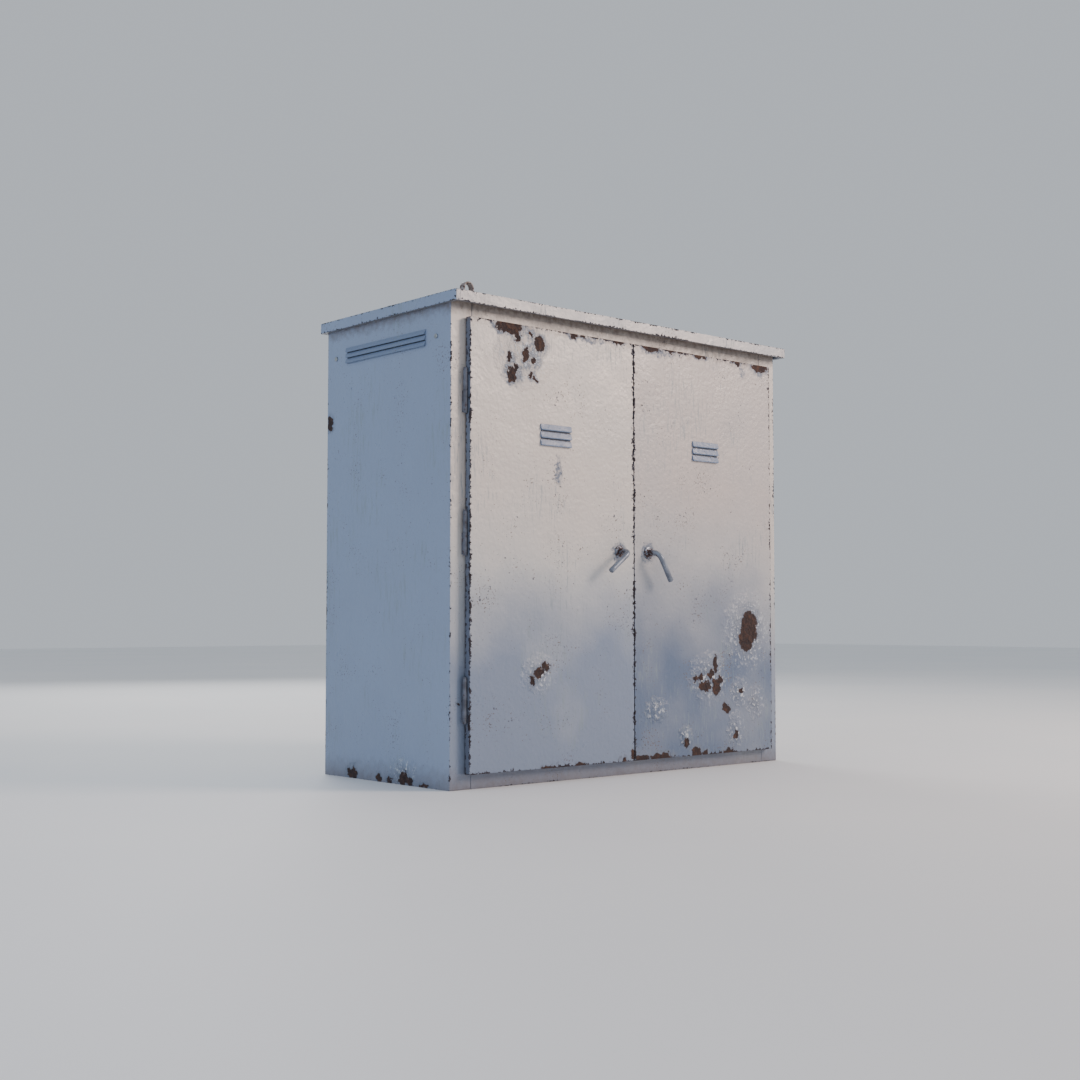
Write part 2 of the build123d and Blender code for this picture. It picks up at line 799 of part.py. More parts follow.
rail_front = plate_front - rail_depth
breaker_back = rail_front
breaker_face = breaker_back - breaker_depth
breaker_nose = breaker_face - breaker_nose_depth
breaker_places = [(i - (breaker_count - 1) / 2) * breaker_pitch for i in range(breaker_count)]
breaker_z = rail_heights[0]
toggle_axis_y = breaker_nose + toggle_axis_inset


def breaker_body(x):
    """Moulded three-pole breaker with a stepped nose and a pocket for its toggle."""
    half = breaker_width / 2
    top = breaker_z + breaker_height / 2
    bottom = breaker_z - breaker_height / 2
    nose_half = breaker_nose_height / 2
    body = block(x - half, x + half, breaker_face, breaker_back, bottom, top)
    body += block(
        x - half, x + half, breaker_nose, breaker_face, breaker_z - nose_half, breaker_z + nose_half
    )
    for pole in (-1, 0, 1):
        pole_x = x + pole * breaker_width / 3
        for z in (bottom + breaker_terminal_inset, top - breaker_terminal_inset):
            floor_y = breaker_face + breaker_terminal_depth
            body -= post_y(pole_x, z, breaker_face - 1, floor_y, breaker_terminal_radius)
    pocket_half = toggle_width / 2 + toggle_clearance
    body -= block(
        x - pocket_half, x + pocket_half,
        breaker_nose - 1, toggle_axis_y + toggle_pivot_radius + toggle_slot_floor,
        breaker_z - toggle_slot_height / 2, breaker_z + toggle_slot_height / 2,
    )
    return body + post_x(toggle_axis_y, breaker_z, x - pocket_half, x + pocket_half, toggle_axle_radius)


def rocker(hub_radius, width, reach, thickness, axle_radius):
    """Lever about the X axis with its arm to -Y, bored for its axle."""
    half = width / 2
    hub = post_x(0, 0, -half, half, hub_radius)
    arm = block(-half, half, -reach, 0, -thickness / 2, thickness / 2)
    arm = fillet(arm.edges().filter_by(Axis.X).sort_by(Axis.Y)[:2], thickness * 0.4)
    return hub + arm - post_x(0, 0, -half - 1, half + 1, axle_radius + pin_clearance)


def breaker_toggle(x):
    """Ganged toggle bar on its pivot, shown switched off."""
    toggle = rocker(toggle_pivot_radius, toggle_width, toggle_reach, toggle_thickness, toggle_axle_radius)
    return Pos(x, toggle_axis_y, breaker_z) * Rot(toggle_rest_angle, 0, 0) * toggle


# ---- Main switch ----
main_face = plate_front - main_switch_depth
main_shoulder_y = main_face + main_switch_cover
main_axis_y = main_face + main_lever_axis_inset


def main_switch_body():
    """Moulded switch-disconnector with a slot for its lever."""
    half_x = main_switch_width / 2
    top = main_switch_z + main_switch_height / 2
    bottom = main_switch_z - main_switch_height / 2
    body = block(-half_x, half_x, main_shoulder_y, plate_front, bottom, top)
    body += block(
        -half_x, half_x, main_face, main_shoulder_y, bottom + main_switch_shoulder, top - main_switch_shoulder
    )
    slot_half = main_lever_width / 2 + toggle_clearance
    body -= block(
        -slot_half, slot_half, main_face - 1, main_shoulder_y,
        main_switch_z - main_slot_half, main_switch_z + main_slot_half,
    )
    for x in (-link_pitch, 0.0, link_pitch):
        for z in (bottom + main_terminal_inset, top - main_terminal_inset):
            floor_y = main_shoulder_y + main_terminal_depth
            body -= post_y(x, z, main_shoulder_y - 1, floor_y, main_terminal_radius)
    return body + post_x(main_axis_y, main_switch_z, -slot_half, slot_half, main_lever_axle_radius)


def main_switch_lever():
    """Lever of the main switch, shown switched off."""
    lever = rocker(
        main_lever_radius, main_lever_width, main_lever_reach, main_lever_thickness, main_lever_axle_radius
    )
    return Pos(0, main_axis_y, main_switch_z) * Rot(toggle_rest_angle, 0, 0) * lever


# ---- Busbars and leads ----
bar_planes = [
    (plate_front - busbar_first_y - i * busbar_step_y, busbar_top_z - i * busbar_step_z) for i in range(3)
]


def busbars():
    """Three copper bars, stepped in height and in depth."""
    half_x = busbar_length / 2
    half_z = busbar_height / 2
    return group(
        block(-half_x, half_x, y - busbar_thickness, y, z - half_z, z + half_z) for y, z in bar_planes
    )


def busbar_support(x):
    """Stepped insulating support that carries all three bars."""
    half_x = support_width / 2
    half_z = busbar_step_z / 2
    steps = [block(x - half_x, x + half_x, y, plate_front, z - half_z, z + half_z) for y, z in bar_planes]
    return steps[0] + steps[1:]


def copper_links():
    """Flat links from the lower terminals of the main switch to the bars."""
    links = []
    switch_bottom = main_switch_z - main_switch_height / 2
    for i, (y, z) in enumerate(bar_planes):
        x = (i - 1) * link_pitch
        y1 = y - busbar_thickness
        half = link_width / 2
        links.append(block(x - half, x + half, y1 - link_thickness, y1, z - busbar_height / 2, switch_bottom))
    return group(links)


comb_bottom = breaker_z + breaker_height / 2
comb_top = comb_bottom + comb_height
comb_length = breaker_pitch * breaker_count


def comb_busbar():
    """Insulated comb bar across the tops of the breakers."""
    y1 = bar_planes[0][0]
    y0 = bar_planes[2][0] - busbar_thickness - comb_cover
    return block(-comb_length / 2, comb_length / 2, y0, y1, comb_bottom, comb_top)


def feeder_leads():
    """Insulated leads from the three bars down to the comb bar."""
    leads = []
    for i, (y, z) in enumerate(bar_planes):
        x = -comb_length / 2 + feeder_first_x + i * feeder_pitch
        leads.append(post_z(x, y - busbar_thickness / 2, comb_top, z - busbar_height / 2, feeder_radius))
    return group(leads)


duct_top_z = breaker_z - breaker_height / 2 - lead_drop


def outgoing_leads():
    """Insulated leads from each breaker pole down into the wiring duct."""
    leads = []
    for x in breaker_places:
        for pole in (-1, 0, 1):
            lead_x = x + pole * breaker_width / 3
            lead_y = breaker_face + lead_depth
            leads.append(post_z(lead_x, lead_y, duct_top_z, breaker_z - breaker_height / 2, lead_radius))
    return group(leads)


# ---- Terminals ----
duct_column_x = plate_half_width - stud_inset - nut_radius - duct_stud_gap - duct_width / 2
bar_x = duct_column_x - duct_width / 2 - bar_duct_gap - bar_length / 2


def terminal_block(x):
    """One rail terminal with a screw recess at each end."""
    z = rail_heights[1]
    half = terminal_width / 2
    nose_y = rail_front - terminal_depth
    shoulder_y = nose_y + terminal_nose
    half_z = terminal_height / 2
    body = block(x - half, x + half, shoulder_y, rail_front, z - half_z, z + half_z)
    body += block(x - half, x + half, nose_y, shoulder_y, z - half_z / 2, z + half_z / 2)
    for hole_z in (z - terminal_hole_offset, z + terminal_hole_offset):
        body -= post_y(x, hole_z, shoulder_y - 1, shoulder_y + terminal_hole_depth, terminal_hole_radius)
    return body


def connection_bar(z):
    """Drilled bar with a row of clamp screws."""
    y0 = plate_front - bar_standoff - bar_size
    half = bar_length / 2
    bar = block(bar_x - half, bar_x + half, y0, y0 + bar_size, z - bar_size / 2, z + bar_size / 2)
    pitch = bar_length / (bar_screw_count + 1)
    for i in range(bar_screw_count):
        x = bar_x - half + (i + 1) * pitch
        bar += post_y(x, z, y0 - bar_screw_height, y0, bar_screw_radius)
    return bar


def bar_insulators():
    """Pillars under both ends of the neutral and earth bars."""
    pillars = []
    for z in (neutral_bar_z, earth_bar_z):
        for end in (-1, 1):
            x = bar_x + end * (bar_length / 2 - bar_insulator_radius)
            pillars.append(post_y(x, z, plate_front - bar_standoff, plate_front, bar_insulator_radius))
    return group(pillars)


# ---- Wiring ducts: (centre x, centre z, length, runs along Z) ----
duct_column = ((plate_bottom + plate_top) / 2, plate_top - plate_bottom - 2 * duct_end_gap, True)
duct_runs = [
    (-duct_column_x, *duct_column),
    (duct_column_x, *duct_column),
    (0.0, duct_top_z - duct_width / 2, 2 * duct_column_x - duct_width - 2 * duct_clearance, False),
]


def duct(length):
    """Slotted U-shaped duct along Z, open to -Y, its back at Y zero."""
    half = duct_width / 2
    body = block(-half, half, -duct_depth, 0, -length / 2, length / 2)
    inner = half - duct_wall
    body -= block(-inner, inner, -duct_depth - 1, -duct_wall, -length / 2 - 1, length / 2 + 1)
    count = int((length - duct_slot_pitch) // duct_slot_pitch)
    slots = [
        block(
            -half - 1, half + 1, -duct_depth - 1, -duct_depth * 0.35,
            (i - (count - 1) / 2) * duct_slot_pitch - duct_slot_width / 2,
            (i - (count - 1) / 2) * duct_slot_pitch + duct_slot_width / 2,
        )
        for i in range(count)
    ]
    return body - slots


def duct_lid(length):
    """Clip-on lid with two lips, over the open side of a duct."""
    half = duct_width / 2 - duct_wall - duct_clearance
    cover_y = -duct_depth - duct_wall
    lid = block(-duct_width / 2, duct_width / 2, cover_y, -duct_depth, -length / 2, length / 2)
    for side in (-1, 1):
        lid += block(
            side * half, side * (half - duct_wall), -duct_depth, -duct_depth + duct_lid_lip,
            -length / 2, length / 2,
        )
    return lid


def placed_duct(shape_of, run):
    """One duct or lid at its place on the plate."""
    x, z, length, upright = run
    turn = Rot(0, 0, 0) if upright else Rot(0, 90, 0)
    return Pos(x, plate_front, z) * turn * shape_of(length)


# ---- Write every node ----
os.makedirs("parts", exist_ok=True)

save("left_side_wall", side_wall(-1))
save("right_side_wall", side_wall(1))
save("rear_wall", rear_wall())
save("base_pan", base_pan())
save("frame_top_rail", frame_rail(opening_top, wall_top, opening_top))
save("frame_bottom_rail", frame_rail(0.0, opening_bottom, opening_bottom))
save("centre_post", centre_post())
save("latch_keepers", latch_keepers())
save("roof_cap", roof_cap())
save("roof_bolts", group(roof_bolt(x, y) for x, y in roof_bolt_places))
save("front_left_lifting_lug", lifting_lug(-half_width + lug_inset_side, front + lug_inset_front))
save("rear_right_lifting_lug", lifting_lug(half_width - lug_inset_side, rear - lug_inset_front))
panel_screws = [screw((x, rear, z), (0, 1, 0)) for x, z in rear_screw_places]
panel_screws += [
    screw((side * half_width, y, z), (side, 0, 0)) for side in (-1, 1) for y, z in side_screw_places
]
panel_screws += [screw(place, (0, 0, 1)) for place in gland_screw_places]
save("panel_screws", group(panel_screws))
save("gland_plate", gland_plate())
save("cable_glands", group(cable_gland(x) for x in gland_places))
save("gland_seals", group(gland_seal(x) for x in gland_places))

frame_knuckles = hinge_knuckles(on_door=False)
pins = hinge_pins()
save("frame_hinge_knuckles", group([frame_knuckles, mirrored(frame_knuckles)]))
save("hinge_pins", group([pins, mirrored(pins)]))

door_parts = {
    "door_leaf": door_leaf(),
    "door_gasket": door_gasket(),
    "door_stiffeners": door_stiffeners(),
    "door_knuckles": hinge_knuckles(on_door=True),
}
for name, shape in door_parts.items():
    save(f"left_{name}", shape)
    save(f"right_{name}", mirrored(shape))

handle_sides = (("left", -handle_offset, left_lever_angle), ("right", handle_offset, right_lever_angle))
for side_name, x, angle in handle_sides:
    save(f"{side_name}_handle_lever", handle_lever(x, angle))
    save(f"{side_name}_escutcheon", escutcheon(x))
    save(f"{side_name}_spindle_bush", spindle_bush(x))
    save(f"{side_name}_latch_tongue", latch_tongue(x, angle))
    save(f"{side_name}_latch_nut", latch_nut(x))

save("mounting_plate", mounting_plate())
save("mounting_plate_standoffs", group(standoff(x, z) for x, z in stud_places))
save("mounting_plate_nuts", group(stud_nut(x, z) for x, z in stud_places))
save("din_rails", group(din_rail(rail_length, z) for z in rail_heights))
save("breaker_bodies", group(breaker_body(x) for x in breaker_places))
for number, x in enumerate(breaker_places, 1):
    save(f"breaker_toggle_{number}", breaker_toggle(x))
save("main_switch_body", main_switch_body())
save("main_switch_lever", main_switch_lever())
save("busbars", busbars())
save("busbar_supports", group(busbar_support(x) for x in (-support_offset, support_offset)))
save("copper_links", copper_links())
save("comb_busbar", comb_busbar())
save("feeder_leads", feeder_leads())
save("outgoing_leads", outgoing_leads())
terminal_places = [(i - (terminal_count - 1) / 2) * terminal_pitch for i in range(terminal_count)]
save("terminal_blocks", group(terminal_block(x) for x in terminal_places))
save("neutral_bar", connection_bar(neutral_bar_z))
save("earth_bar", connection_bar(earth_bar_z))
save("bar_insulators", bar_insulators())
save("wiring_ducts", group(placed_duct(duct, run) for run in duct_runs))
save("wiring_duct_lids", group(placed_duct(duct_lid, run) for run in duct_runs))
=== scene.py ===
"""Looks for a weathered steel switchboard cabinet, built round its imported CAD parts."""

import json
import logging
import math
from dataclasses import dataclass, field
from enum import Enum

import bmesh
import bpy
from mathutils import Matrix, Vector

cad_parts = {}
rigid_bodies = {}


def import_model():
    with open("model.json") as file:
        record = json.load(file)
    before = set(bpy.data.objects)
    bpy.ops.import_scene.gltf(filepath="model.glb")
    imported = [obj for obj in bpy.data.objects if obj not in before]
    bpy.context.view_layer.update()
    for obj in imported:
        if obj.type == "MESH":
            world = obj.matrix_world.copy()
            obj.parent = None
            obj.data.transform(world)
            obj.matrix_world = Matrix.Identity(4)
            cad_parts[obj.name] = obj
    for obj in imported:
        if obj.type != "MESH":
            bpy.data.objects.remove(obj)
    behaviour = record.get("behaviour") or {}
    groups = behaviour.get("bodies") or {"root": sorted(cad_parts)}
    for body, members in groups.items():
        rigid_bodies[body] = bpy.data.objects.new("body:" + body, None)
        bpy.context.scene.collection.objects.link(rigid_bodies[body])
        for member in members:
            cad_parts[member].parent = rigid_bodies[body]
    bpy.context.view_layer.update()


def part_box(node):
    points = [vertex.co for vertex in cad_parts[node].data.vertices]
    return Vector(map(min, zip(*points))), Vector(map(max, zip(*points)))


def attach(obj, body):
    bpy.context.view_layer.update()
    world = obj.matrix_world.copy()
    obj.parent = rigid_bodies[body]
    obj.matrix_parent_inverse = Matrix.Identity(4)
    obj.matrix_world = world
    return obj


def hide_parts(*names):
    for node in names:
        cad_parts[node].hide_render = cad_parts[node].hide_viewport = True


log = logging.getLogger("switchboard")

MM = 0.001
FLAT_FROM = 0.0003  # square metres: larger faces are flat sheet and are shaded flat
MERGE = 0.00001  # metres: points nearer than this are one point
SAME_PLANE = math.radians(0.5)
CURVE_FROM, CURVE_TO = math.radians(2), math.radians(31)
SHARP_FROM = math.radians(32)
ON_BOX = 0.0002  # metres: an edge this near to the node's box is one of its outer edges
STRIP = 1.6  # a rounding's faces are narrower than this many times its size
DOOR_SKIN = -240.5  # millimetres: plane of the doors' front skins
SKIN_REACH = 1.6  # millimetres: wear on a skin stops short of the door's inner face

Triple = tuple[float, float, float]
Tree = bpy.types.NodeTree
Node = bpy.types.Node
Socket = bpy.types.NodeSocket
Shape = bmesh.types.BMesh
Material = bpy.types.Material


# ---------------------------------------------------------------- colour and node helpers


def linear(hex_colour: str) -> tuple[float, float, float, float]:
    """Turns an sRGB hex colour into the linear colour that a shader socket takes.

    Args:
        hex_colour: six hex digits, with or without a leading #.

    Returns:
        Linear red, green, blue and a full alpha.
    """
    digits = hex_colour.lstrip("#")
    channels = []
    for start in (0, 2, 4):
        value = int(digits[start : start + 2], 16) / 255.0
        channels.append(value / 12.92 if value <= 0.04045 else ((value + 0.055) / 1.055) ** 2.4)
    return (channels[0], channels[1], channels[2], 1.0)


def add(tree: Tree, kind: str, links: dict | None = None, **settings: object) -> Node:
    """Adds one shader node with its settings, and fills or links its sockets.

    Args:
        tree: node tree of the material.
        kind: node type without its ShaderNode prefix.
        links: socket name or index to a node, whose first output in use is taken, to an output
            socket, or to a plain value.
        **settings: properties of the node itself.

    Returns:
        The new node.
    """
    node = tree.nodes.new("ShaderNode" + kind)
    for name, value in settings.items():
        setattr(node, name, value)
    for key, value in (links or {}).items():
        if isinstance(value, Node):
            value = next(output for output in value.outputs if output.enabled)
        if isinstance(value, Socket):
            tree.links.new(value, node.inputs[key])
        else:
            node.inputs[key].default_value = value
    return node


def new_material(name: str) -> tuple[Material, Tree]:
    """Makes an empty node material.

    Args:
        name: the material's name.

    Returns:
        The material and its cleared node tree.
    """
    material = bpy.data.materials.new(name)
    material.use_nodes = True
    material.node_tree.nodes.clear()
    return material, material.node_tree


# ---------------------------------------------------------------- finishes


@dataclass(frozen=True)
class Spot:
    """A worn place on a painted panel: where it is and how far it reaches, in millimetres."""

    place: Triple
    reach: Triple


@dataclass
class Wear:
    """Nodes that say how worn the film is at a point."""

    lean: Node
    core: Node
    bare: Node
    rim: Node
    lifted: Node


@dataclass(frozen=True)
class WeatheredEnamel:
    """Sprayed enamel over primer on folded steel sheet, left outdoors for years.

    The film is pale and semi-gloss with orange peel. It has flaked off along folded edges,
    rust has lifted it in patches with grey primer round them, and rain has left faint streaks.
    Its colour also holds painted light: painted warm light high up, painted shade low down,
    on sideways faces, on undersides, on louvre hoods and between them, and painted highlights
    on the crests of lifted paint.
    All sizes, heights and places are in millimetres. Each noise has a size, a detail and a
    roughness.
    """

    name: str
    low: Triple
    high: Triple
    paint: str = "#C3C3C2"
    # painted warm light on the film high up
    lit_paint: str = "#CFC6BF"
    # painted blue shade on the film low down, also mottled into the sideways faces
    shaded_paint: str = "#7C899F"
    # blue-grey painted shade on faces turned sideways
    flank_shade: str = "#8999B2"
    # dark painted shade on faces turned downwards
    under: str = "#565A63"
    # painted shade on the louvre hoods' faces
    hood_shade: str = "#6E7F9A"
    # dark painted shade between the louvre hoods
    primer: str = "#6C7686"
    rust: str = "#3B2823"
    rust_dark: str = "#261D20"
    rust_light: str = "#583B2D"
    bare_steel: str = "#474653"
    streak: str = "#7F8D95"
    stain: str = "#63564F"
    # painted highlight on the crests of lifted paint
    crest_highlight: str = "#DDE2E8"
    louvre_shade: str = "#4E5563"
    chip_reach: float = 9.0
    chip_edge: float = 0.47
    chip_field: float = 0.735
    fray: float = 7.0
    # heights where the painted shade gives way to the painted warm light
    shade_below: float = 220.0
    lit_above: float = 640.0
    tear: Triple = (34.0, 34.0, 34.0)
    band_from: float = 2000.0
    band_to: float = 2100.0
    splash: float = 0.0
    splash_full: float = 22.0
    splash_gone: float = 75.0
    hood_axis: int = 1
    hood_from: float = 9999.0
    louvres: tuple[Spot, ...] = ()
    spots: tuple[Spot, ...] = ()
    halos: tuple[Spot, ...] = ()
    blisters: tuple[Spot, ...] = ()
    streak_width: float = 6.0
    streak_height: float = 50.0
    peel_height: float = 1.0
    dent_height: float = 3.2
    film: float = 0.6
    pit_depth: float = 1.4
    blister_height: float = 9.0
    rust_roughness: float = 0.88
    ior: float = 1.5
    noises: tuple[tuple[str, float, float, float], ...] = (
        ("ragged", 14.0, 4.0, 0.62),
        ("flake", 7.0, 5.0, 0.6),
        ("cluster", 85.0, 2.0, 0.5),
        ("cloud", 280.0, 3.0, 0.55),
        ("streak group", 160.0, 1.0, 0.5),
        ("speck", 4.2, 2.0, 0.5),
        ("grain", 6.0, 6.0, 0.7),
        ("sheen", 50.0, 5.0, 0.65),
        ("peel", 9.0, 2.0, 0.5),
        ("dents", 130.0, 2.0, 0.5),
    )

    def nearest(self, tree: Tree, point: Socket, spots: tuple[Spot, ...]) -> Node | float:
        """Distance from a point to the nearest spot, as a share of that spot's reach.

        Args:
            tree: node tree of the material.
            point: position socket in metres.
            spots: the spots to measure to.

        Returns:
            The distance node, or a large number where there are no spots.
        """
        found = 9.0
        for spot in spots:
            away = tuple(-MM * c for c in spot.place)
            shrink = tuple(1 / (MM * r) for r in spot.reach)
            offset = add(tree, "VectorMath", {0: point, 1: away}, operation="ADD")
            shrunk = add(tree, "VectorMath", {0: offset, 1: shrink}, operation="MULTIPLY")
            length = add(tree, "VectorMath", {0: shrunk}, operation="LENGTH")
            least = add(tree, "Math", {0: length, 1: found}, operation="MINIMUM")
            found = least
        return found

    def edge_distance(self, tree: Tree, point: Socket) -> Node:
        """Distance in metres from a point to the nearest folded edge of the panel's box.

        Args:
            tree: node tree of the material.
            point: position socket in metres.

        Returns:
            The distance node.
        """
        centre = tuple((a + b) / 2 for a, b in zip(self.low, self.high))
        half = tuple((b - a) / 2 for a, b in zip(self.low, self.high))
        offset = add(tree, "VectorMath", {0: point, 1: centre}, operation="SUBTRACT")
        size = add(tree, "VectorMath", {0: offset}, operation="ABSOLUTE")
        depth = add(tree, "VectorMath", {0: half, 1: size}, operation="SUBTRACT")
        axes = add(tree, "SeparateXYZ", {0: depth}).outputs
        least = None
        for first, second in ((0, 1), (1, 2), (0, 2)):
            pair = add(tree, "Math", {0: axes[first], 1: axes[second]}, operation="MAXIMUM")
            if least is None:
                least = pair
            else:
                both = {0: least, 1: pair}
                least = add(tree, "Math", both, operation="MINIMUM")
        return least

    def patterns(self, tree: Tree, where: Socket) -> dict[str, Node]:
        """Makes the noises that wear, tone, gloss and relief are worked out from.

        Args:
            tree: node tree of the material.
            where: position socket in metres.

        Returns:
            The noise nodes by name.
        """
        found = {}
        for name, size, detail, roughness in self.noises:
            scale = 1 / (size * MM)
            sockets = {"Vector": where, "Scale": scale, "Detail": detail, "Roughness": roughness}
            found[name] = add(tree, "TexNoise", sockets)
        return found

    def wear(self, tree: Tree, where: Socket, noise: dict[str, Node]) -> Wear:
        """Works out where the film is chipped, rusted through, rimmed with primer or lifted.

        Args:
            tree: node tree of the material.
            where: position socket in metres.
            noise: the noise nodes by name.

        Returns:
            The nodes of the wear.
        """
        # Ragged outlines: positions are pushed about by a noise before they are measured.
        ragged = noise["ragged"].outputs[1]
        push = add(tree, "VectorMath", {0: ragged, 1: (0.5, 0.5, 0.5)}, operation="SUBTRACT")
        tear = tuple(MM * amount for amount in self.tear)
        torn = add(tree, "VectorMath", {0: push, 1: tear, 2: where}, operation="MULTIPLY_ADD")
        fray = (self.fray * MM,) * 3
        frayed = add(tree, "VectorMath", {0: push, 1: fray, 2: where}, operation="MULTIPLY_ADD")

        # Flakes along the folds: a noise against a bar that rises away from the edge.
        flake = noise["flake"]
        edge = self.edge_distance(tree, frayed)
        reach = self.chip_reach * MM
        bar = add(
            tree, "MapRange", {0: edge, 1: 0.0, 2: reach, 3: self.chip_edge, 4: self.chip_field}
        )
        lean = add(tree, "MapRange", {0: noise["cluster"], 1: 0.3, 2: 0.7, 3: 0.09, 4: -0.09})
        over = add(tree, "Math", {0: flake, 1: bar}, operation="SUBTRACT")
        over = add(tree, "Math", {0: over, 1: lean}, operation="SUBTRACT")
        chip = add(tree, "MapRange", {0: over, 1: 0.0, 2: 0.015, 3: 0.0, 4: 1.0})
        chip_rim = add(tree, "MapRange", {0: over, 1: -0.03, 2: -0.005, 3: 0.0, 4: 1.0})

        # Rust patches with primer showing in a torn band round them.
        near = self.nearest(tree, torn, self.spots)
        core = add(tree, "MapRange", {0: near, 1: 1.0, 2: 1.12, 3: 1.0, 4: 0.0})
        band = add(tree, "MapRange", {0: near, 1: 1.3, 2: 1.85, 3: 1.0, 4: 0.0})
        halo = self.nearest(tree, torn, self.halos)
        halo = add(tree, "MapRange", {0: halo, 1: 0.8, 2: 1.1, 3: 1.0, 4: 0.0})
        band = add(tree, "Math", {0: band, 1: halo}, operation="MAXIMUM")
        gaps = add(tree, "MapRange", {0: flake, 1: 0.4, 2: 0.56, 3: 0.3, 4: 1.0})
        band = add(tree, "Math", {0: band, 1: gaps}, operation="MULTIPLY")
        lifted = self.nearest(tree, torn, self.blisters)
        lifted = add(tree, "MapRange", {0: lifted, 1: 0.35, 2: 1.25, 3: 1.0, 4: 0.0})
        bare = add(tree, "Math", {0: chip, 1: core}, operation="MAXIMUM")
        rim = add(tree, "Math", {0: chip_rim, 1: band}, operation="MAXIMUM")
        return Wear(lean, core, bare, rim, lifted)

    def film_colour(self, tree: Tree, where: Socket, noise: dict[str, Node]) -> Node:
        """Colour of the sound film, with painted warm light and painted shade by height, and
        painted shade on flanks, undersides, louvres and hoods.

        Args:
            tree: node tree of the material.
            where: position socket in metres.
            noise: the noise nodes by name.

        Returns:
            The last colour node.
        """
        # Paint tone: painted warm light high up and painted shade low down, with broad random
        # clouds between.
        axes = add(tree, "SeparateXYZ", {0: where})
        cloud = noise["cloud"]
        heights = {1: self.shade_below * MM, 2: self.lit_above * MM}
        rise = add(tree, "MapRange", {0: axes.outputs[2], **heights, 3: -0.32, 4: 0.32})
        drift = add(tree, "MapRange", {0: cloud, 1: 0.3, 2: 0.7, 3: 0.38, 4: 0.62})
        tone = add(tree, "Math", {0: drift, 1: rise}, operation="ADD")
        lit_share = add(tree, "MapRange", {0: tone, 1: 0.45, 2: 0.85, 3: 0.0, 4: 1.0})
        shade_share = add(tree, "MapRange", {0: tone, 1: 0.2, 2: 0.55, 3: 1.0, 4: 0.0})
        colour = add(
            tree, "Mix", {0: lit_share, 6: linear(self.paint), 7: linear(self.lit_paint)}, data_type="RGBA"
        )

        # Painted shade: faces turned sideways get a mottled blue-grey painted shade, undersides a
        # dark painted shade, and the louvre hoods and the gaps between them painted shade as well.
        facing = add(tree, "SeparateXYZ", {0: add(tree, "TexCoord").outputs["Normal"]})
        aside = add(tree, "Math", {0: facing.outputs[0]}, operation="ABSOLUTE")
        aside = add(tree, "MapRange", {0: aside, 1: 0.45, 2: 0.75, 3: 0.0, 4: 1.0})
        flank_shade = add(tree, "MapRange", {0: cloud, 1: 0.35, 2: 0.7, 3: 0.0, 4: 0.35})
        flank_shade = add(
            tree, "Mix", {0: flank_shade, 6: linear(self.flank_shade), 7: linear(self.shaded_paint)}, data_type="RGBA"
        )
        # painted shade on faces turned downwards
        below = add(tree, "MapRange", {0: facing.outputs[2], 1: -0.8, 2: -0.4, 3: 0.85, 4: 0.0})
        covers = [(shade_share, linear(self.shaded_paint)), (aside, flank_shade), (below, linear(self.under))]
        # painted shade in the gaps between the louvre hoods
        covers += [(inside, linear(self.louvre_shade)) for inside in self.between_hoods(tree, where)]
        # painted shade on the faces of the proud louvre hoods
        proud = add(tree, "Math", {0: axes.outputs[self.hood_axis]}, operation="ABSOLUTE")
        proud = add(tree, "Math", {0: proud, 1: self.hood_from * MM}, operation="GREATER_THAN")
        covers.append((proud, linear(self.hood_shade)))
        for amount, top in covers:
            colour = add(tree, "Mix", {0: amount, 6: colour, 7: top}, data_type="RGBA")
        return colour

    def between_hoods(self, tree: Tree, where: Socket) -> list[Node]:
        """Marks the boxes round the louvres, where painted shade lies between the hoods.

        Args:
            tree: node tree of the material.
            where: position socket in metres.

        Returns:
            One node per box, 1 inside it and 0 outside.
        """
        found = []
        for box in self.louvres:
            centre = tuple(MM * c for c in box.place)
            shrink = tuple(1 / (MM * r) for r in box.reach)
            offset = add(tree, "VectorMath", {0: where, 1: centre}, operation="SUBTRACT")
            shares = add(tree, "VectorMath", {0: offset, 1: shrink}, operation="MULTIPLY")
            shares = add(tree, "VectorMath", {0: shares}, operation="ABSOLUTE")
            shares = add(tree, "SeparateXYZ", {0: shares}).outputs
            most = add(tree, "Math", {0: shares[0], 1: shares[1]}, operation="MAXIMUM")
            most = add(tree, "Math", {0: most, 1: shares[2]}, operation="MAXIMUM")
            inside = add(tree, "Math", {0: most, 1: 1.0}, operation="LESS_THAN")
            found.append(inside)
        return found

    def dirt(
        self, tree: Tree, where: Socket, noise: dict[str, Node], wear: Wear
    ) -> list[tuple[Node, str]]:
        """Streaks, specks, a brown band under the roof and splashes on the film.

        Args:
            tree: node tree of the material.
            where: position socket in metres.
            noise: the noise nodes by name.
            wear: the film's wear.

        Returns:
            Amount nodes with their colours, in the order they lie on the film, streaks first.
        """
        # Rain streaks in groups, several times as tall as they are wide.
        wide, tall = 1 / (self.streak_width * MM), 1 / (self.streak_height * MM)
        drawn = add(tree, "Mapping", {"Vector": where, "Scale": (wide, wide, tall)})
        run = add(
            tree, "TexNoise", {"Vector": drawn, "Scale": 1.0, "Detail": 4.0, "Roughness": 0.7}
        )
        bar = add(tree, "MapRange", {0: noise["streak group"], 1: 0.35, 2: 0.65, 3: 0.16, 4: -0.02})
        over = add(tree, "Math", {0: run, 1: bar}, operation="SUBTRACT")
        streaks = add(tree, "MapRange", {0: over, 1: 0.52, 2: 0.66, 3: 0.0, 4: 0.62})

        # Pin-hole specks, in the same clusters as the flakes.
        over = add(tree, "Math", {0: noise["speck"], 1: wear.lean}, operation="SUBTRACT")
        specks = add(tree, "MapRange", {0: over, 1: 0.69, 2: 0.75, 3: 0.0, 4: 0.85})

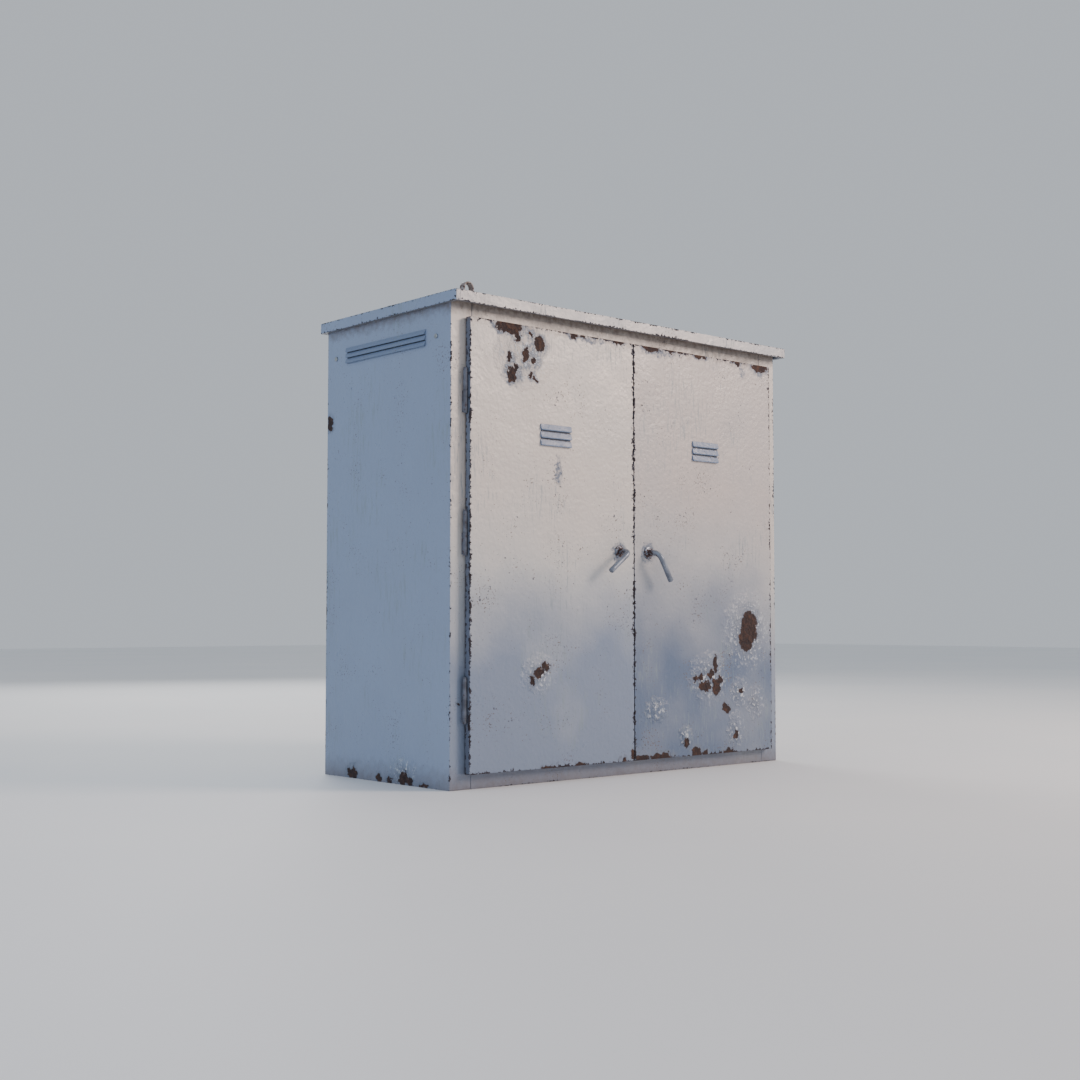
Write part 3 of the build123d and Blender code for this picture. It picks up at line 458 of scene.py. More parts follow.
        # A brown band that darkens the top under the roof, and dirt splashed up from the ground.
        height = add(tree, "SeparateXYZ", {0: where}).outputs[2]
        spread = add(
            tree, "Math", {0: noise["ragged"], 1: 0.05, 2: height}, operation="MULTIPLY_ADD"
        )
        heights = {1: self.band_from * MM, 2: self.band_to * MM}
        top_band = add(tree, "MapRange", {0: spread, **heights, 3: 0.0, 4: 0.8})
        heights = {1: self.splash_full * MM, 2: self.splash_gone * MM}
        splash = add(tree, "MapRange", {0: spread, **heights, 3: self.splash, 4: 0.0})
        return [
            (streaks, self.streak), (specks, self.stain), (top_band, self.stain), (splash, self.stain)
        ]

    def bare_colour(self, tree: Tree, noise: dict[str, Node], wear: Wear) -> Node:
        """Colour of bare metal: three shades of rust in the patches, dull steel at the flakes.

        Args:
            tree: node tree of the material.
            noise: the noise nodes by name.
            wear: the film's wear.

        Returns:
            The last colour node.
        """
        dark = add(tree, "MapRange", {0: noise["grain"], 1: 0.4, 2: 0.6, 3: 0.0, 4: 1.0})
        pale = add(tree, "MapRange", {0: noise["ragged"], 1: 0.5, 2: 0.68, 3: 0.0, 4: 0.7})
        deep, fresh = linear(self.rust_dark), linear(self.rust)
        oxide = add(tree, "Mix", {0: dark, 6: deep, 7: fresh}, data_type="RGBA")
        dusty, steel = linear(self.rust_light), linear(self.bare_steel)
        oxide = add(tree, "Mix", {0: pale, 6: oxide, 7: dusty}, data_type="RGBA")
        steel = add(tree, "Mix", {0: pale, 6: deep, 7: steel}, data_type="RGBA")
        return add(tree, "Mix", {0: wear.core, 6: steel, 7: oxide}, data_type="RGBA")

    def relief(self, tree: Tree, noise: dict[str, Node], wear: Wear) -> Node:
        """Height in metres: orange peel, shallow dents, film edge, rust pits and blisters.

        Args:
            tree: node tree of the material.
            noise: the noise nodes by name.
            wear: the film's wear.

        Returns:
            The height node.
        """
        pitted = add(tree, "Math", {0: noise["grain"], 1: wear.core}, operation="MULTIPLY")
        swollen = add(tree, "Math", {0: noise["ragged"], 1: wear.lifted}, operation="MULTIPLY")
        peel = {0: noise["peel"], 1: self.peel_height * MM}
        height = add(tree, "Math", peel, operation="MULTIPLY")
        for pattern, amount in (
            (noise["dents"], self.dent_height),
            (wear.bare, -self.film),
            (pitted, self.pit_depth),
            (swollen, self.blister_height),
        ):
            height = add(
                tree, "Math", {0: pattern, 1: amount * MM, 2: height}, operation="MULTIPLY_ADD"
            )
        return height

    def material(self) -> Material:
        """Builds the finish as a node material."""
        material, tree = new_material(self.name)
        where = add(tree, "TexCoord").outputs["Object"]
        noise = self.patterns(tree, where)
        wear = self.wear(tree, where, noise)
        dirt = self.dirt(tree, where, noise, wear)
        streaks = dirt[0][0]

        # Painted highlights on the pale crests of the lifted paint round the rust.
        crest = add(tree, "MapRange", {0: noise["flake"], 1: 0.55, 2: 0.62, 3: 0.0, 4: 0.75})
        crest = add(tree, "Math", {0: crest, 1: wear.lifted}, operation="MULTIPLY")
        covers = [(amount, linear(tint)) for amount, tint in dirt]
        covers.append((wear.rim, linear(self.primer)))
        covers.append((crest, linear(self.crest_highlight)))
        covers.append((wear.bare, self.bare_colour(tree, noise, wear)))
        colour = self.film_colour(tree, where, noise)
        for amount, top in covers:
            colour = add(tree, "Mix", {0: amount, 6: colour, 7: top}, data_type="RGBA")

        # Gloss: uneven film, duller in streaks and on primer, dull rust.
        gloss = add(tree, "MapRange", {0: noise["sheen"], 1: 0.3, 2: 0.7, 3: 0.26, 4: 0.46})
        for duller in (streaks, wear.rim):
            gloss = add(tree, "Math", {0: duller, 1: 0.2, 2: gloss}, operation="MULTIPLY_ADD")
        rough = add(
            tree, "Mix", {0: wear.bare, 2: gloss, 3: self.rust_roughness}, data_type="FLOAT"
        )
        height = self.relief(tree, noise, wear)
        bump = add(tree, "Bump", {"Strength": 1.0, "Distance": 1.0, "Height": height})
        shader = add(
            tree,
            "BsdfPrincipled",
            {
                "Base Color": colour,
                "Roughness": rough,
                "Normal": bump,
                "Metallic": 0.0,
                "IOR": self.ior,
            },
        )
        add(tree, "OutputMaterial", {0: shader})
        return material


@dataclass(frozen=True)
class PlainFinish:
    """A finish of one stuff with cloudy tone, marks, uneven gloss and a fine grain.

    The first two tones drift into each other, and the third is that of the marks, which are small
    flecks. The three numbers of the marks are the size of the drift, the size of a fleck and the
    level of noise that it starts from. The grain has a size and a height, and the stretch draws it
    out along an axis, as drawing or brushing does. Sizes are in millimetres.
    """

    name: str
    tones: tuple[str, str, str]
    marks: Triple
    gloss: tuple[float, float]
    grain: tuple[float, float]
    stretch: Triple = (1.0, 1.0, 1.0)
    metallic: float = 0.0
    rust_place: Triple | None = None
    rust_reach: float = 20.0
    mark_roughness: float = 0.85

    def material(self) -> Material:
        """Builds the finish as a node material."""
        material, tree = new_material(self.name)
        where = add(tree, "TexCoord").outputs["Object"]
        drawn = add(tree, "Mapping", {"Vector": where, "Scale": self.stretch})
        tone, shade, mark = (linear(colour) for colour in self.tones)
        drift, fleck_size, level = self.marks
        cloud = add(tree, "TexNoise", {"Vector": where, "Scale": 1 / (drift * MM), "Detail": 4.0})
        mix = add(tree, "MapRange", {0: cloud, 1: 0.35, 2: 0.65, 3: 0.0, 4: 1.0})
        colour = add(tree, "Mix", {0: mix, 6: tone, 7: shade}, data_type="RGBA")
        over = add(
            tree, "TexNoise", {"Vector": where, "Scale": 1 / (fleck_size * MM), "Detail": 4.0}
        )
        if self.rust_place is not None:
            place = tuple(MM * c for c in self.rust_place)
            near = add(tree, "VectorMath", {0: where, 1: place}, operation="DISTANCE")
            reach = self.rust_reach * MM
            lift = add(tree, "MapRange", {0: near, 1: 0.0, 2: reach, 3: 0.4, 4: 0.0})
            over = add(tree, "Math", {0: over, 1: lift}, operation="ADD")
        marks = add(tree, "MapRange", {0: over, 1: level, 2: level + 0.05, 3: 0.0, 4: 0.9})
        colour = add(tree, "Mix", {0: marks, 6: colour, 7: mark}, data_type="RGBA")
        size, height = self.grain
        fine = add(tree, "TexNoise", {"Vector": drawn, "Scale": 1 / (size * MM), "Detail": 3.0})
        smooth, dull = self.gloss
        rough = add(tree, "MapRange", {0: fine, 1: 0.3, 2: 0.7, 3: smooth, 4: dull})
        rough = add(tree, "Mix", {0: marks, 2: rough, 3: self.mark_roughness}, data_type="FLOAT")
        relief = add(tree, "Math", {0: fine, 1: height * MM}, operation="MULTIPLY")
        bump = add(tree, "Bump", {"Strength": 1.0, "Distance": 1.0, "Height": relief})
        shader = add(
            tree,
            "BsdfPrincipled",
            {"Base Color": colour, "Roughness": rough, "Normal": bump, "Metallic": self.metallic},
        )
        add(tree, "OutputMaterial", {0: shader})
        return material


class Finish(Enum):
    """The plain finishes, by what each is made of."""

    # Zinc electroplate: pale grey metal with dull clouds and a few rust flecks.
    ZINC = PlainFinish(
        "zinc_plated_steel",
        ("#A9AEB0", "#84898B", "#6A4A38"),
        marks=(14.0, 3.0, 0.7),
        gloss=(0.3, 0.5),
        grain=(0.8, 0.02),
        metallic=0.9,
    )
    # Hinge steel: paint mostly gone, brown and dull.
    HINGE = PlainFinish(
        "rusted_hinge_steel",
        ("#686D7A", "#4A4C55", "#45322E"),
        marks=(18.0, 6.0, 0.6),
        gloss=(0.45, 0.7),
        grain=(2.0, 0.15),
    )
    # Lifting lugs: enamel worn through by shackles, brown where it is bare.
    LUG = PlainFinish(
        "worn_lug_steel",
        ("#A39B98", "#7C6B66", "#4E382F"),
        marks=(14.0, 8.0, 0.56),
        gloss=(0.4, 0.65),
        grain=(2.0, 0.15),
    )
    # Light enamel on the mounting plate, hardly worn.
    PLATE = PlainFinish(
        "sprayed_light_enamel",
        ("#D6D5CA", "#CBC9BD", "#8A7A66"),
        marks=(90.0, 3.0, 0.78),
        gloss=(0.35, 0.5),
        grain=(3.0, 0.05),
    )
    # Closed-cell foam: black, dead matt, with open pores.
    FOAM = PlainFinish(
        "cut_foam_rubber",
        ("#1C1D1F", "#262729", "#0E0E0F"),
        marks=(8.0, 1.5, 0.6),
        gloss=(0.85, 0.95),
        grain=(0.9, 0.25),
    )
    # Nylon glands, moulded with a fine spark texture.
    NYLON = PlainFinish(
        "moulded_black_nylon",
        ("#25272A", "#2E3034", "#55524C"),
        marks=(12.0, 1.5, 0.78),
        gloss=(0.5, 0.65),
        grain=(0.6, 0.04),
    )
    # Thermoset switch body.
    DEVICE = PlainFinish(
        "moulded_grey_thermoset",
        ("#4A4D50", "#414447", "#6A675F"),
        marks=(30.0, 2.0, 0.78),
        gloss=(0.4, 0.55),
        grain=(0.7, 0.04),
    )
    # Breaker housings, aged polyamide that has yellowed a little.
    BREAKER = PlainFinish(
        "moulded_pale_polyamide",
        ("#C9C9C3", "#BFBEB4", "#7C776B"),
        marks=(40.0, 2.0, 0.8),
        gloss=(0.35, 0.5),
        grain=(0.6, 0.03),
    )
    # Toggle bars, black ABS with a satin gloss.
    TOGGLE = PlainFinish(
        "satin_black_abs",
        ("#17181A", "#1F2022", "#3B3B3A"),
        marks=(10.0, 1.0, 0.8),
        gloss=(0.25, 0.4),
        grain=(0.6, 0.02),
    )
    # Main switch lever, red ABS.
    LEVER = PlainFinish(
        "satin_red_abs",
        ("#9C2018", "#8A1C16", "#4A1512"),
        marks=(10.0, 1.5, 0.76),
        gloss=(0.25, 0.4),
        grain=(0.6, 0.02),
    )
    # Copper bars, drawn lengthways and dulled by handling.
    COPPER = PlainFinish(
        "drawn_copper",
        ("#A77860", "#80594A", "#503A32"),
        marks=(35.0, 5.0, 0.68),
        gloss=(0.25, 0.45),
        grain=(0.5, 0.02),
        stretch=(0.05, 1.0, 1.0),
        metallic=1.0,
    )
    # Brass terminal bars.
    BRASS = PlainFinish(
        "drawn_brass",
        ("#B79A5C", "#99804C", "#5A4B32"),
        marks=(25.0, 3.0, 0.7),
        gloss=(0.25, 0.42),
        grain=(0.5, 0.02),
        stretch=(0.05, 1.0, 1.0),
        metallic=1.0,
    )
    # Cast resin supports, deep red-brown.
    RESIN = PlainFinish(
        "cast_resin",
        ("#6E2A20", "#5E251D", "#3A1712"),
        marks=(20.0, 2.0, 0.75),
        gloss=(0.3, 0.45),
        grain=(1.2, 0.05),
    )
    # PVC lead sheath, smooth and black.
    SHEATH = PlainFinish(
        "extruded_black_pvc",
        ("#1B1C1E", "#232427", "#3A3A3B"),
        marks=(12.0, 1.0, 0.8),
        gloss=(0.4, 0.55),
        grain=(0.8, 0.02),
    )
    # Slotted trunking, grey rigid PVC.
    TRUNKING = PlainFinish(
        "extruded_grey_pvc",
        ("#8B9093", "#82878A", "#5F605F"),
        marks=(60.0, 3.0, 0.8),
        gloss=(0.4, 0.55),
        grain=(1.0, 0.03),
    )
    # Terminal bodies, beige polyamide.
    TERMINAL = PlainFinish(
        "moulded_beige_polyamide",
        ("#98957F", "#8E8B76", "#5C5848"),
        marks=(12.0, 2.0, 0.78),
        gloss=(0.4, 0.55),
        grain=(0.6, 0.03),
    )


# ---------------------------------------------------------------- mesh helpers


def as_piece(
    name: str,
    shape: Shape,
    material: Material,
    body: str,
    stands_for: tuple[str, ...] = (),
    smooth_below: float = 0.85,
) -> bpy.types.Object:
    """Turns a finished bmesh into a piece that rides on a body.

    Args:
        name: name of the piece.
        shape: the finished mesh, in the cabinet's frame, in metres. It is freed.
        material: the piece's material.
        body: CAD body it moves with.
        stands_for: CAD nodes that it replaces.
        smooth_below: edges that turn by less than this many radians are shaded smooth.

    Returns:
        The new object.
    """
    for edge in shape.edges:
        edge.smooth = edge.calc_face_angle(0.0) < smooth_below
    mesh = bpy.data.meshes.new(name)
    shape.to_mesh(mesh)
    shape.free()
    carried = mesh.attributes.get("custom_normal")
    if carried is not None:
        mesh.attributes.remove(carried)
    mesh.materials.append(material)
    piece = bpy.data.objects.new(name, mesh)
    bpy.context.scene.collection.objects.link(piece)
    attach(piece, body)
    if stands_for:
        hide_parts(*stands_for)
    log.info("%s: %d faces, rides on %s", name, len(mesh.polygons), body)
    return piece


def smooth_all(shape: Shape) -> None:
    """Shades every face of a shape smooth."""
    for face in shape.faces:
        face.smooth = True


def smooth_strips(faces: list[bmesh.types.BMFace], width: float) -> None:
    """Shades the narrow strips of a rounding smooth, and leaves the flat sheet beside them flat.

    Args:
        faces: the faces that the rounding made or remade.
        width: size of the rounding, in millimetres.
    """
    for face in faces:
        longest = max(edge.calc_length() for edge in face.edges)
        if face.calc_area() < STRIP * width * MM * longest:
            face.smooth = True


def softened(node: str, width: float, outer: float = 0.0, segments: int = 2) -> Shape:
    """Copies a CAD node's mesh and rounds its sharp edges.

    Args:
        node: name of the CAD node.
        width: size of the rounding on ordinary edges, in millimetres.
        outer: size of the rounding on the edges of the node's own box, in millimetres.
        segments: steps across the rounding.

    Returns:
        A new bmesh.
    """
    shape = bmesh.new()
    shape.from_mesh(bpy.data.objects[node].data)
    bmesh.ops.remove_doubles(shape, verts=shape.verts, dist=MERGE)
    bmesh.ops.dissolve_limit(
        shape, angle_limit=SAME_PLANE, verts=shape.verts, edges=shape.edges, delimit={"NORMAL"}
    )
    for face in shape.faces:
        turns = [edge.calc_face_angle(0.0) for edge in face.edges if len(edge.link_faces) == 2]
        curved = any(CURVE_FROM < turn < CURVE_TO for turn in turns)
        face.smooth = curved and face.calc_area() < FLAT_FROM
    low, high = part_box(node)
    outside, ordinary, done = [], [], set()
    for edge in shape.edges:
        if len(edge.link_faces) != 2 or edge.calc_face_angle(0.0) < SHARP_FROM:
            continue
        if not edge.is_convex:
            continue
        middle = (edge.verts[0].co + edge.verts[1].co) / 2
        gaps = sorted(min(abs(middle[i] - low[i]), abs(high[i] - middle[i])) for i in range(3))
        (outside if outer > width and gaps[1] < ON_BOX else ordinary).append(edge)
    for edges, size, steps in ((outside, outer, segments + 1), (ordinary, width, segments)):
        edges = [edge for edge in edges if edge.is_valid and not done.intersection(edge.link_faces)]
        if not edges:
            continue
        result = bmesh.ops.bevel(
            shape,
            geom=edges,
            offset=size * MM,
            segments=steps,
            profile=0.5,
            affect="EDGES",
            clamp_overlap=True,
            material=-1,
        )
        done.update(result["faces"])
        smooth_strips(result["faces"], size)
    return shape


def rounded(
    node: str,
    ending: str,
    width: float,
    material: Material,
    body: str,
    outer: float = 0.0,
) -> None:
    """Replaces a CAD node with a copy of it that has its sharp edges rounded.

    Args:
        node: name of the CAD node.
        ending: what the copy's name has after the node's.
        width: size of the rounding on ordinary edges, in millimetres.
        material: the copy's material.
        body: CAD body it moves with.
        outer: size of the rounding on the edges of the node's own box, in millimetres.
    """
    as_piece(f"{node}_{ending}", softened(node, width, outer), material, body, (node,))


def turned(
    profile: list[tuple[float, float]], centre: Vector, axis: Vector, steps: int = 32
) -> Shape:
    """Spins a profile round an axis, as on a lathe.

    Args:
        profile: (radius, height) pairs in metres, from one end on the axis to the other.
        centre: the point at height 0.
        axis: direction of rising height.
        steps: facets round the axis.

    Returns:
        A new closed bmesh.
    """
    shape = bmesh.new()
    along = axis.normalized()
    across = along.orthogonal().normalized()
    ring = [
        shape.verts.new(centre + across * radius + along * height) for radius, height in profile
    ]
    chain = [shape.edges.new(pair) for pair in zip(ring, ring[1:])]
    bmesh.ops.spin(
        shape,
        geom=ring + chain,
        cent=centre,
        axis=along,
        angle=math.tau,
        steps=steps,
        use_merge=True,
        use_duplicate=False,
    )
    bmesh.ops.remove_doubles(shape, verts=shape.verts, dist=MERGE)
    bmesh.ops.recalc_face_normals(shape, faces=shape.faces)
    smooth_all(shape)
    return shape


def joined(shapes: list[Shape]) -> Shape:
    """Puts several bmeshes into one and frees them.

    Args:
        shapes: the bmeshes.

    Returns:
        One bmesh that holds them all.
    """
    whole = bmesh.new()
    for shape in shapes:
        part = bpy.data.meshes.new("part")
        shape.to_mesh(part)
        shape.free()
        whole.from_mesh(part)
        bpy.data.meshes.remove(part)
    return whole


def dress(node: str, material: Material) -> None:
    """Gives a CAD node that stays as it is a better material.

    Args:
        node: name of the CAD node.
        material: its new material.
    """
    piece = bpy.data.objects[node]
    if not piece.material_slots:
        piece.data.materials.append(material)
    for slot in piece.material_slots:
        slot.material = material


# ---------------------------------------------------------------- sub-assemblies


@dataclass
class Shell:
    """Walls, frame, base, roof and the fasteners in them."""

    weld_radius: float = 1.6
    louvre_y: float = 4.5
    louvre_z: float = 918.0
    louvre_reach: Triple = (6.0, 142.0, 15.5)
    spots: tuple[Spot, ...] = (
        Spot((-500, 116, 10), (30, 17, 13)),
        Spot((-500, 19, 7), (30, 10, 8)),
        Spot((-500, -20, 7), (30, 9, 9)),
        Spot((-500, -69, 12), (30, 14, 14)),
        Spot((-500, -92, 8), (30, 10, 9)),
        Spot((-500, -137, 3), (30, 16, 6)),
        Spot((-500, 212, 773), (30, 11, 14)),
        Spot((-481, -222, 167), (4, 20, 5)),
        Spot((500, 60, 8), (30, 22, 11)),
        Spot((500, -120, 5), (30, 18, 9)),
        Spot((500, 190, 10), (30, 14, 12)),
        Spot((500, 216, 380), (30, 9, 26)),
        Spot((210, 222, 10), (40, 30, 14)),
        Spot((-330, 222, 9), (26, 30, 12)),
        Spot((120, 222, 640), (12, 30, 10)),
        Spot((-180, 222, 300), (9, 30, 15)),
    )
    blisters: tuple[Spot, ...] = (
        Spot((500, 60, 40), (30, 40, 30)),
        Spot((-500, -69, 30), (30, 40, 26)),
        Spot((210, 222, 45), (60, 30, 36)),
    )

    def enamel(self) -> Material:
        """The enamel of walls and frame, which share one box so that its wear runs across them."""
        low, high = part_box("rear_wall")
        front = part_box("frame_bottom_rail")[0].y
        finish = WeatheredEnamel(
            "weathered_enamel_body",
            (low.x, front, low.z),
            (high.x, high.y, high.z),
            # painted shade low down on walls and frame
            shaded_paint="#828EA3",
            chip_reach=6.5,
            chip_edge=0.56,
            chip_field=0.77,
            band_from=978.0,
            band_to=1010.0,
            splash=0.6,
            # painted shade on the side louvres' hoods, which stand out beyond 500.3 mm
            hood_axis=0,
            hood_from=500.3,
            # painted shade between the side louvres' hoods
            louvres=tuple(
                Spot((side * 500, self.louvre_y, self.louvre_z), self.louvre_reach)
                for side in (-1, 1)
            ),
            spots=self.spots,
            blisters=self.blisters,
        )
        return finish.material()

    def roof_enamel(self) -> Material:
        """The enamel of the roof, chipped all along its folds."""
        low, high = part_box("roof_cap")
        feet = tuple(
            Spot(((a.x + b.x) / 2 / MM, (a.y + b.y) / 2 / MM, high.z / MM), (34, 22, 8))
            for a, b in (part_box("front_left_lifting_lug"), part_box("rear_right_lifting_lug"))
        )
        first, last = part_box("roof_bolts")
        bolts = tuple(
            Spot((x / MM, y / MM, high.z / MM), (13, 11, 6))
            for x in (first.x + 0.01, last.x - 0.01) for y in (first.y + 0.01, last.y - 0.01)
        )
        finish = WeatheredEnamel(
            "weathered_enamel_roof",
            tuple(low),
            tuple(high),
            paint="#B3B5BB",
            chip_reach=6.0,
            chip_edge=0.5,
            chip_field=0.76,
            # the painted warm light is weak on the roof, being full only at 1400 mm
            lit_above=1400.0,
            tear=(34.0, 34.0, 0.0),
            spots=bolts,
            blisters=feet,
        )
        return finish.material()

    def build(self) -> None:
        """Builds and dresses the shell."""
        enamel = self.enamel()
        roof = self.roof_enamel()
        for node, width, outer in (
            ("left_side_wall", 0.5, 2.0),
            ("right_side_wall", 0.5, 2.0),
            ("rear_wall", 0.5, 0.9),
            ("base_pan", 0.6, 0.0),
            ("frame_bottom_rail", 0.6, 0.0),
            ("frame_top_rail", 0.6, 0.0),
            ("centre_post", 1.2, 0.0),
            ("latch_keepers", 0.5, 0.0),
        ):
            rounded(node, "sheet", width, enamel, "cabinet", outer)
        as_piece(
            "roof_sheet",
            softened("roof_cap", 0.5, 1.6),
            roof,
            "cabinet",
            ("roof_cap",),
        )
        for node in ("front_left_lifting_lug", "rear_right_lifting_lug"):
            self.lug(node, Finish.LUG.value.material())
        zinc = Finish.ZINC.value.material()
        for node in (
            "roof_bolts", "panel_screws", "mounting_plate_nuts", "mounting_plate_standoffs"
        ):
            dress(node, zinc)

    def lug(self, node: str, material: Material) -> None:
        """Builds one lifting lug with a weld bead along each foot.

        Args:
            node: name of the CAD node that it stands for.
            material: the lug's finish.
        """
        low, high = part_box(node)
        parts = [softened(node, 0.8, 0.0, 3)]
        radius = self.weld_radius * MM
        for side in (low.y, high.y):
            bead = bmesh.new()
            length = high.x - low.x - 4 * radius
            bmesh.ops.create_cone(
                bead, cap_ends=True, segments=10, radius1=radius, radius2=radius, depth=length
            )
            bmesh.ops.bisect_plane(
                bead,
                geom=bead.verts[:] + bead.edges[:] + bead.faces[:],
                plane_co=(0, 0, 0),
                plane_no=(0, 0, 1),
            )
            bmesh.ops.rotate(bead, verts=bead.verts, matrix=Matrix.Rotation(math.pi / 2, 3, "Y"))
            inward = radius * 0.4 * (1 if side == low.y else -1)
            bmesh.ops.translate(
                bead,
                verts=bead.verts,
                vec=Vector(((low.x + high.x) / 2, side + inward, low.z + radius * 0.2)),
            )
            bmesh.ops.recalc_face_normals(bead, faces=bead.faces)
            smooth_all(bead)
            parts.append(bead)
        as_piece(node + "_welded", joined(parts), material, "cabinet", (node,))


@dataclass
class Door:
    """One door with its hinges, handle and latch."""

    side: str
    spots: tuple[Spot, ...]
    halos: tuple[Spot, ...]
    blisters: tuple[Spot, ...]
    lever_angle: float
    outward: float
    # the film's paint, its painted warm light high up and its painted shade low down
    tones: tuple[str, str, str] = ("#C3C3C2", "#CFC6BF", "#7C899F")
    louvre_rise: float = 4.6
    louvre_z: float = 727.0
    louvre_reach: Triple = (42.5, 22.0, 21.5)
    rod_radius: float = 6.0
    bend_radius: float = 17.0
    rod_length: float = 73.0

    def name(self, part: str) -> str:
        """Name of this door's CAD node for a part."""
        return f"{self.side}_{part}"

    def enamel(self) -> Material:
        """The door's enamel, with its own folds, rust and blisters."""
        low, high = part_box(self.name("door_leaf"))
        paint, lit_paint, shaded_paint = self.tones
        finish = WeatheredEnamel(
            f"weathered_enamel_{self.side}_door",
            (low.x, low.y + self.louvre_rise * MM, low.z),
            tuple(high),
            paint=paint,
            lit_paint=lit_paint,
            shaded_paint=shaded_paint,
            chip_reach=8.5,
            chip_edge=0.46,
            # dark painted shade on the door's sideways returns
            flank_shade="#5E6472",
            tear=(34.0, 0.0, 34.0),
            # painted shade between the louvre's hoods
            louvres=(
                Spot(((low.x + high.x) / 2 / MM, high.y / MM, self.louvre_z), self.louvre_reach),
            ),
            # painted shade on the louvre's hoods, which stand proud of the skin
            hood_from=-(low.y / MM + self.louvre_rise) + 0.4,
            spots=self.spots,
            halos=self.halos,
            blisters=self.blisters,
            band_from=962.0,
            band_to=985.0,
        )
        return finish.material()

    def build(self) -> None:
        """Builds and dresses the door."""
        body = f"{self.side}_door"
        leaf = self.name("door_leaf")
        enamel = self.enamel()
        rounded(leaf, "sheet", 0.45, enamel, body)
        stiffeners = self.name("door_stiffeners")
        rounded(stiffeners, "folded", 0.6, enamel, body)
        knuckles = self.name("door_knuckles")
        hinge = Finish.HINGE.value.material()
        rounded(knuckles, "rolled", 0.5, hinge, body)
        gasket = self.name("door_gasket")
        rounded(gasket, "strip", 0.9, Finish.FOAM.value.material(), body)
        self.rosette(body)
        self.lever()
        zinc = Finish.ZINC.value.material()
        for part in ("spindle_bush", "latch_tongue", "latch_nut"):
            dress(self.name(part), zinc)

    def spindle(self) -> tuple[Vector, Vector]:
        """Centre of the rosette's box and its half-size, which set the spindle's line."""
        low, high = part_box(self.name("escutcheon"))
        return (low + high) / 2, (high - low) / 2

    def steel(self) -> Material:
        """Steel of the handle, dark with handling and rusty round the boss."""
        centre, half = self.spindle()
        finish = PlainFinish(
            f"worn_handle_steel_{self.side}",
            ("#8E96A3", "#6F7683", "#4E342B"),
            marks=(22.0, 5.0, 0.72),
            gloss=(0.32, 0.5),
            grain=(1.5, 0.05),
            metallic=0.55,
            rust_place=tuple(c / MM for c in (centre.x, centre.y - half.y, centre.z)),
            rust_reach=30.0,
        )
        return finish.material()

    def rosette(self, body: str) -> None:
        """Builds the round boss that the handle's spindle runs in.

        Args:
            body: the door's body.
        """
        centre, half = self.spindle()
        base = Vector((centre.x, centre.y + half.y, centre.z))
        outer, height = half.x, 2 * half.y
        bore = (self.rod_radius + 0.3) * MM
        profile = [
            (bore, 0.0),
            (outer * 0.985, 0.0),
            (outer, height * 0.1),
            (outer, height * 0.34),
            (outer * 0.96, height * 0.44),
            (outer * 0.8, height * 0.52),
            (outer * 0.72, height * 0.6),
            (outer * 0.69, height * 0.88),
            (outer * 0.65, height),
            (bore * 1.12, height),
            (bore, height * 0.92),
            (bore, 0.0),
        ]
        shape = turned(profile, base, Vector((0, -1, 0)), 40)
        node = self.name("escutcheon")
        as_piece(node + "_turned", shape, self.steel(), body, (node,))

    def lever(self) -> None:
        """Builds the bent rod of the handle, from its inner end to its cut tip."""
        node = self.name("handle_lever")
        low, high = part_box(node)
        centre, _ = self.spindle()
        radius, bend = self.rod_radius * MM, self.bend_radius * MM
        axis_y = low.y + radius
        angle = math.radians(self.lever_angle)
        down = Vector((self.outward * math.sin(angle), 0, -math.cos(angle)))
        shape = bmesh.new()
        bmesh.ops.create_circle(shape, cap_ends=False, segments=28, radius=radius)
        bmesh.ops.rotate(shape, verts=shape.verts, matrix=Matrix.Rotation(math.pi / 2, 3, "X"))
        bmesh.ops.translate(shape, verts=shape.verts, vec=Vector((centre.x, high.y, centre.z)))
        bmesh.ops.contextual_create(shape, geom=shape.edges[:])
        bmesh.ops.reverse_faces(shape, faces=shape.faces)
        ring = shape.edges[:]
        ring = self.pushed(shape, ring, Vector((0, axis_y + bend - high.y, 0)), 6)
        corner = Vector((centre.x, axis_y + bend, centre.z)) + down * bend
        turn = Vector((0, -1, 0)).cross(down)
        result = bmesh.ops.spin(
            shape, geom=ring, cent=corner, axis=turn, angle=math.pi / 2, steps=12, use_merge=False
        )
        ring = [g for g in result["geom_last"] if isinstance(g, bmesh.types.BMEdge)]
        straight = self.rod_length * MM - bend
        ring = self.pushed(shape, ring, down * (straight - 0.0008), 6)
        tip = bmesh.ops.extrude_edge_only(shape, edges=ring)["geom"]
        tip_verts = [g for g in tip if isinstance(g, bmesh.types.BMVert)]
        tip_edges = [g for g in tip if isinstance(g, bmesh.types.BMEdge)]
        middle = sum((v.co for v in tip_verts), Vector()) / len(tip_verts)
        bmesh.ops.scale(
            shape,
            verts=tip_verts,
            vec=Vector((0.87, 0.87, 0.87)),
            space=Matrix.Translation(-middle),
        )
        bmesh.ops.translate(shape, verts=tip_verts, vec=down * 0.0008)
        bmesh.ops.contextual_create(shape, geom=tip_edges)
        bmesh.ops.remove_doubles(shape, verts=shape.verts, dist=MERGE)
        bmesh.ops.recalc_face_normals(shape, faces=shape.faces)
        smooth_all(shape)
        as_piece(node + "_rod", shape, self.steel(), f"{self.side}_handle", (node,))

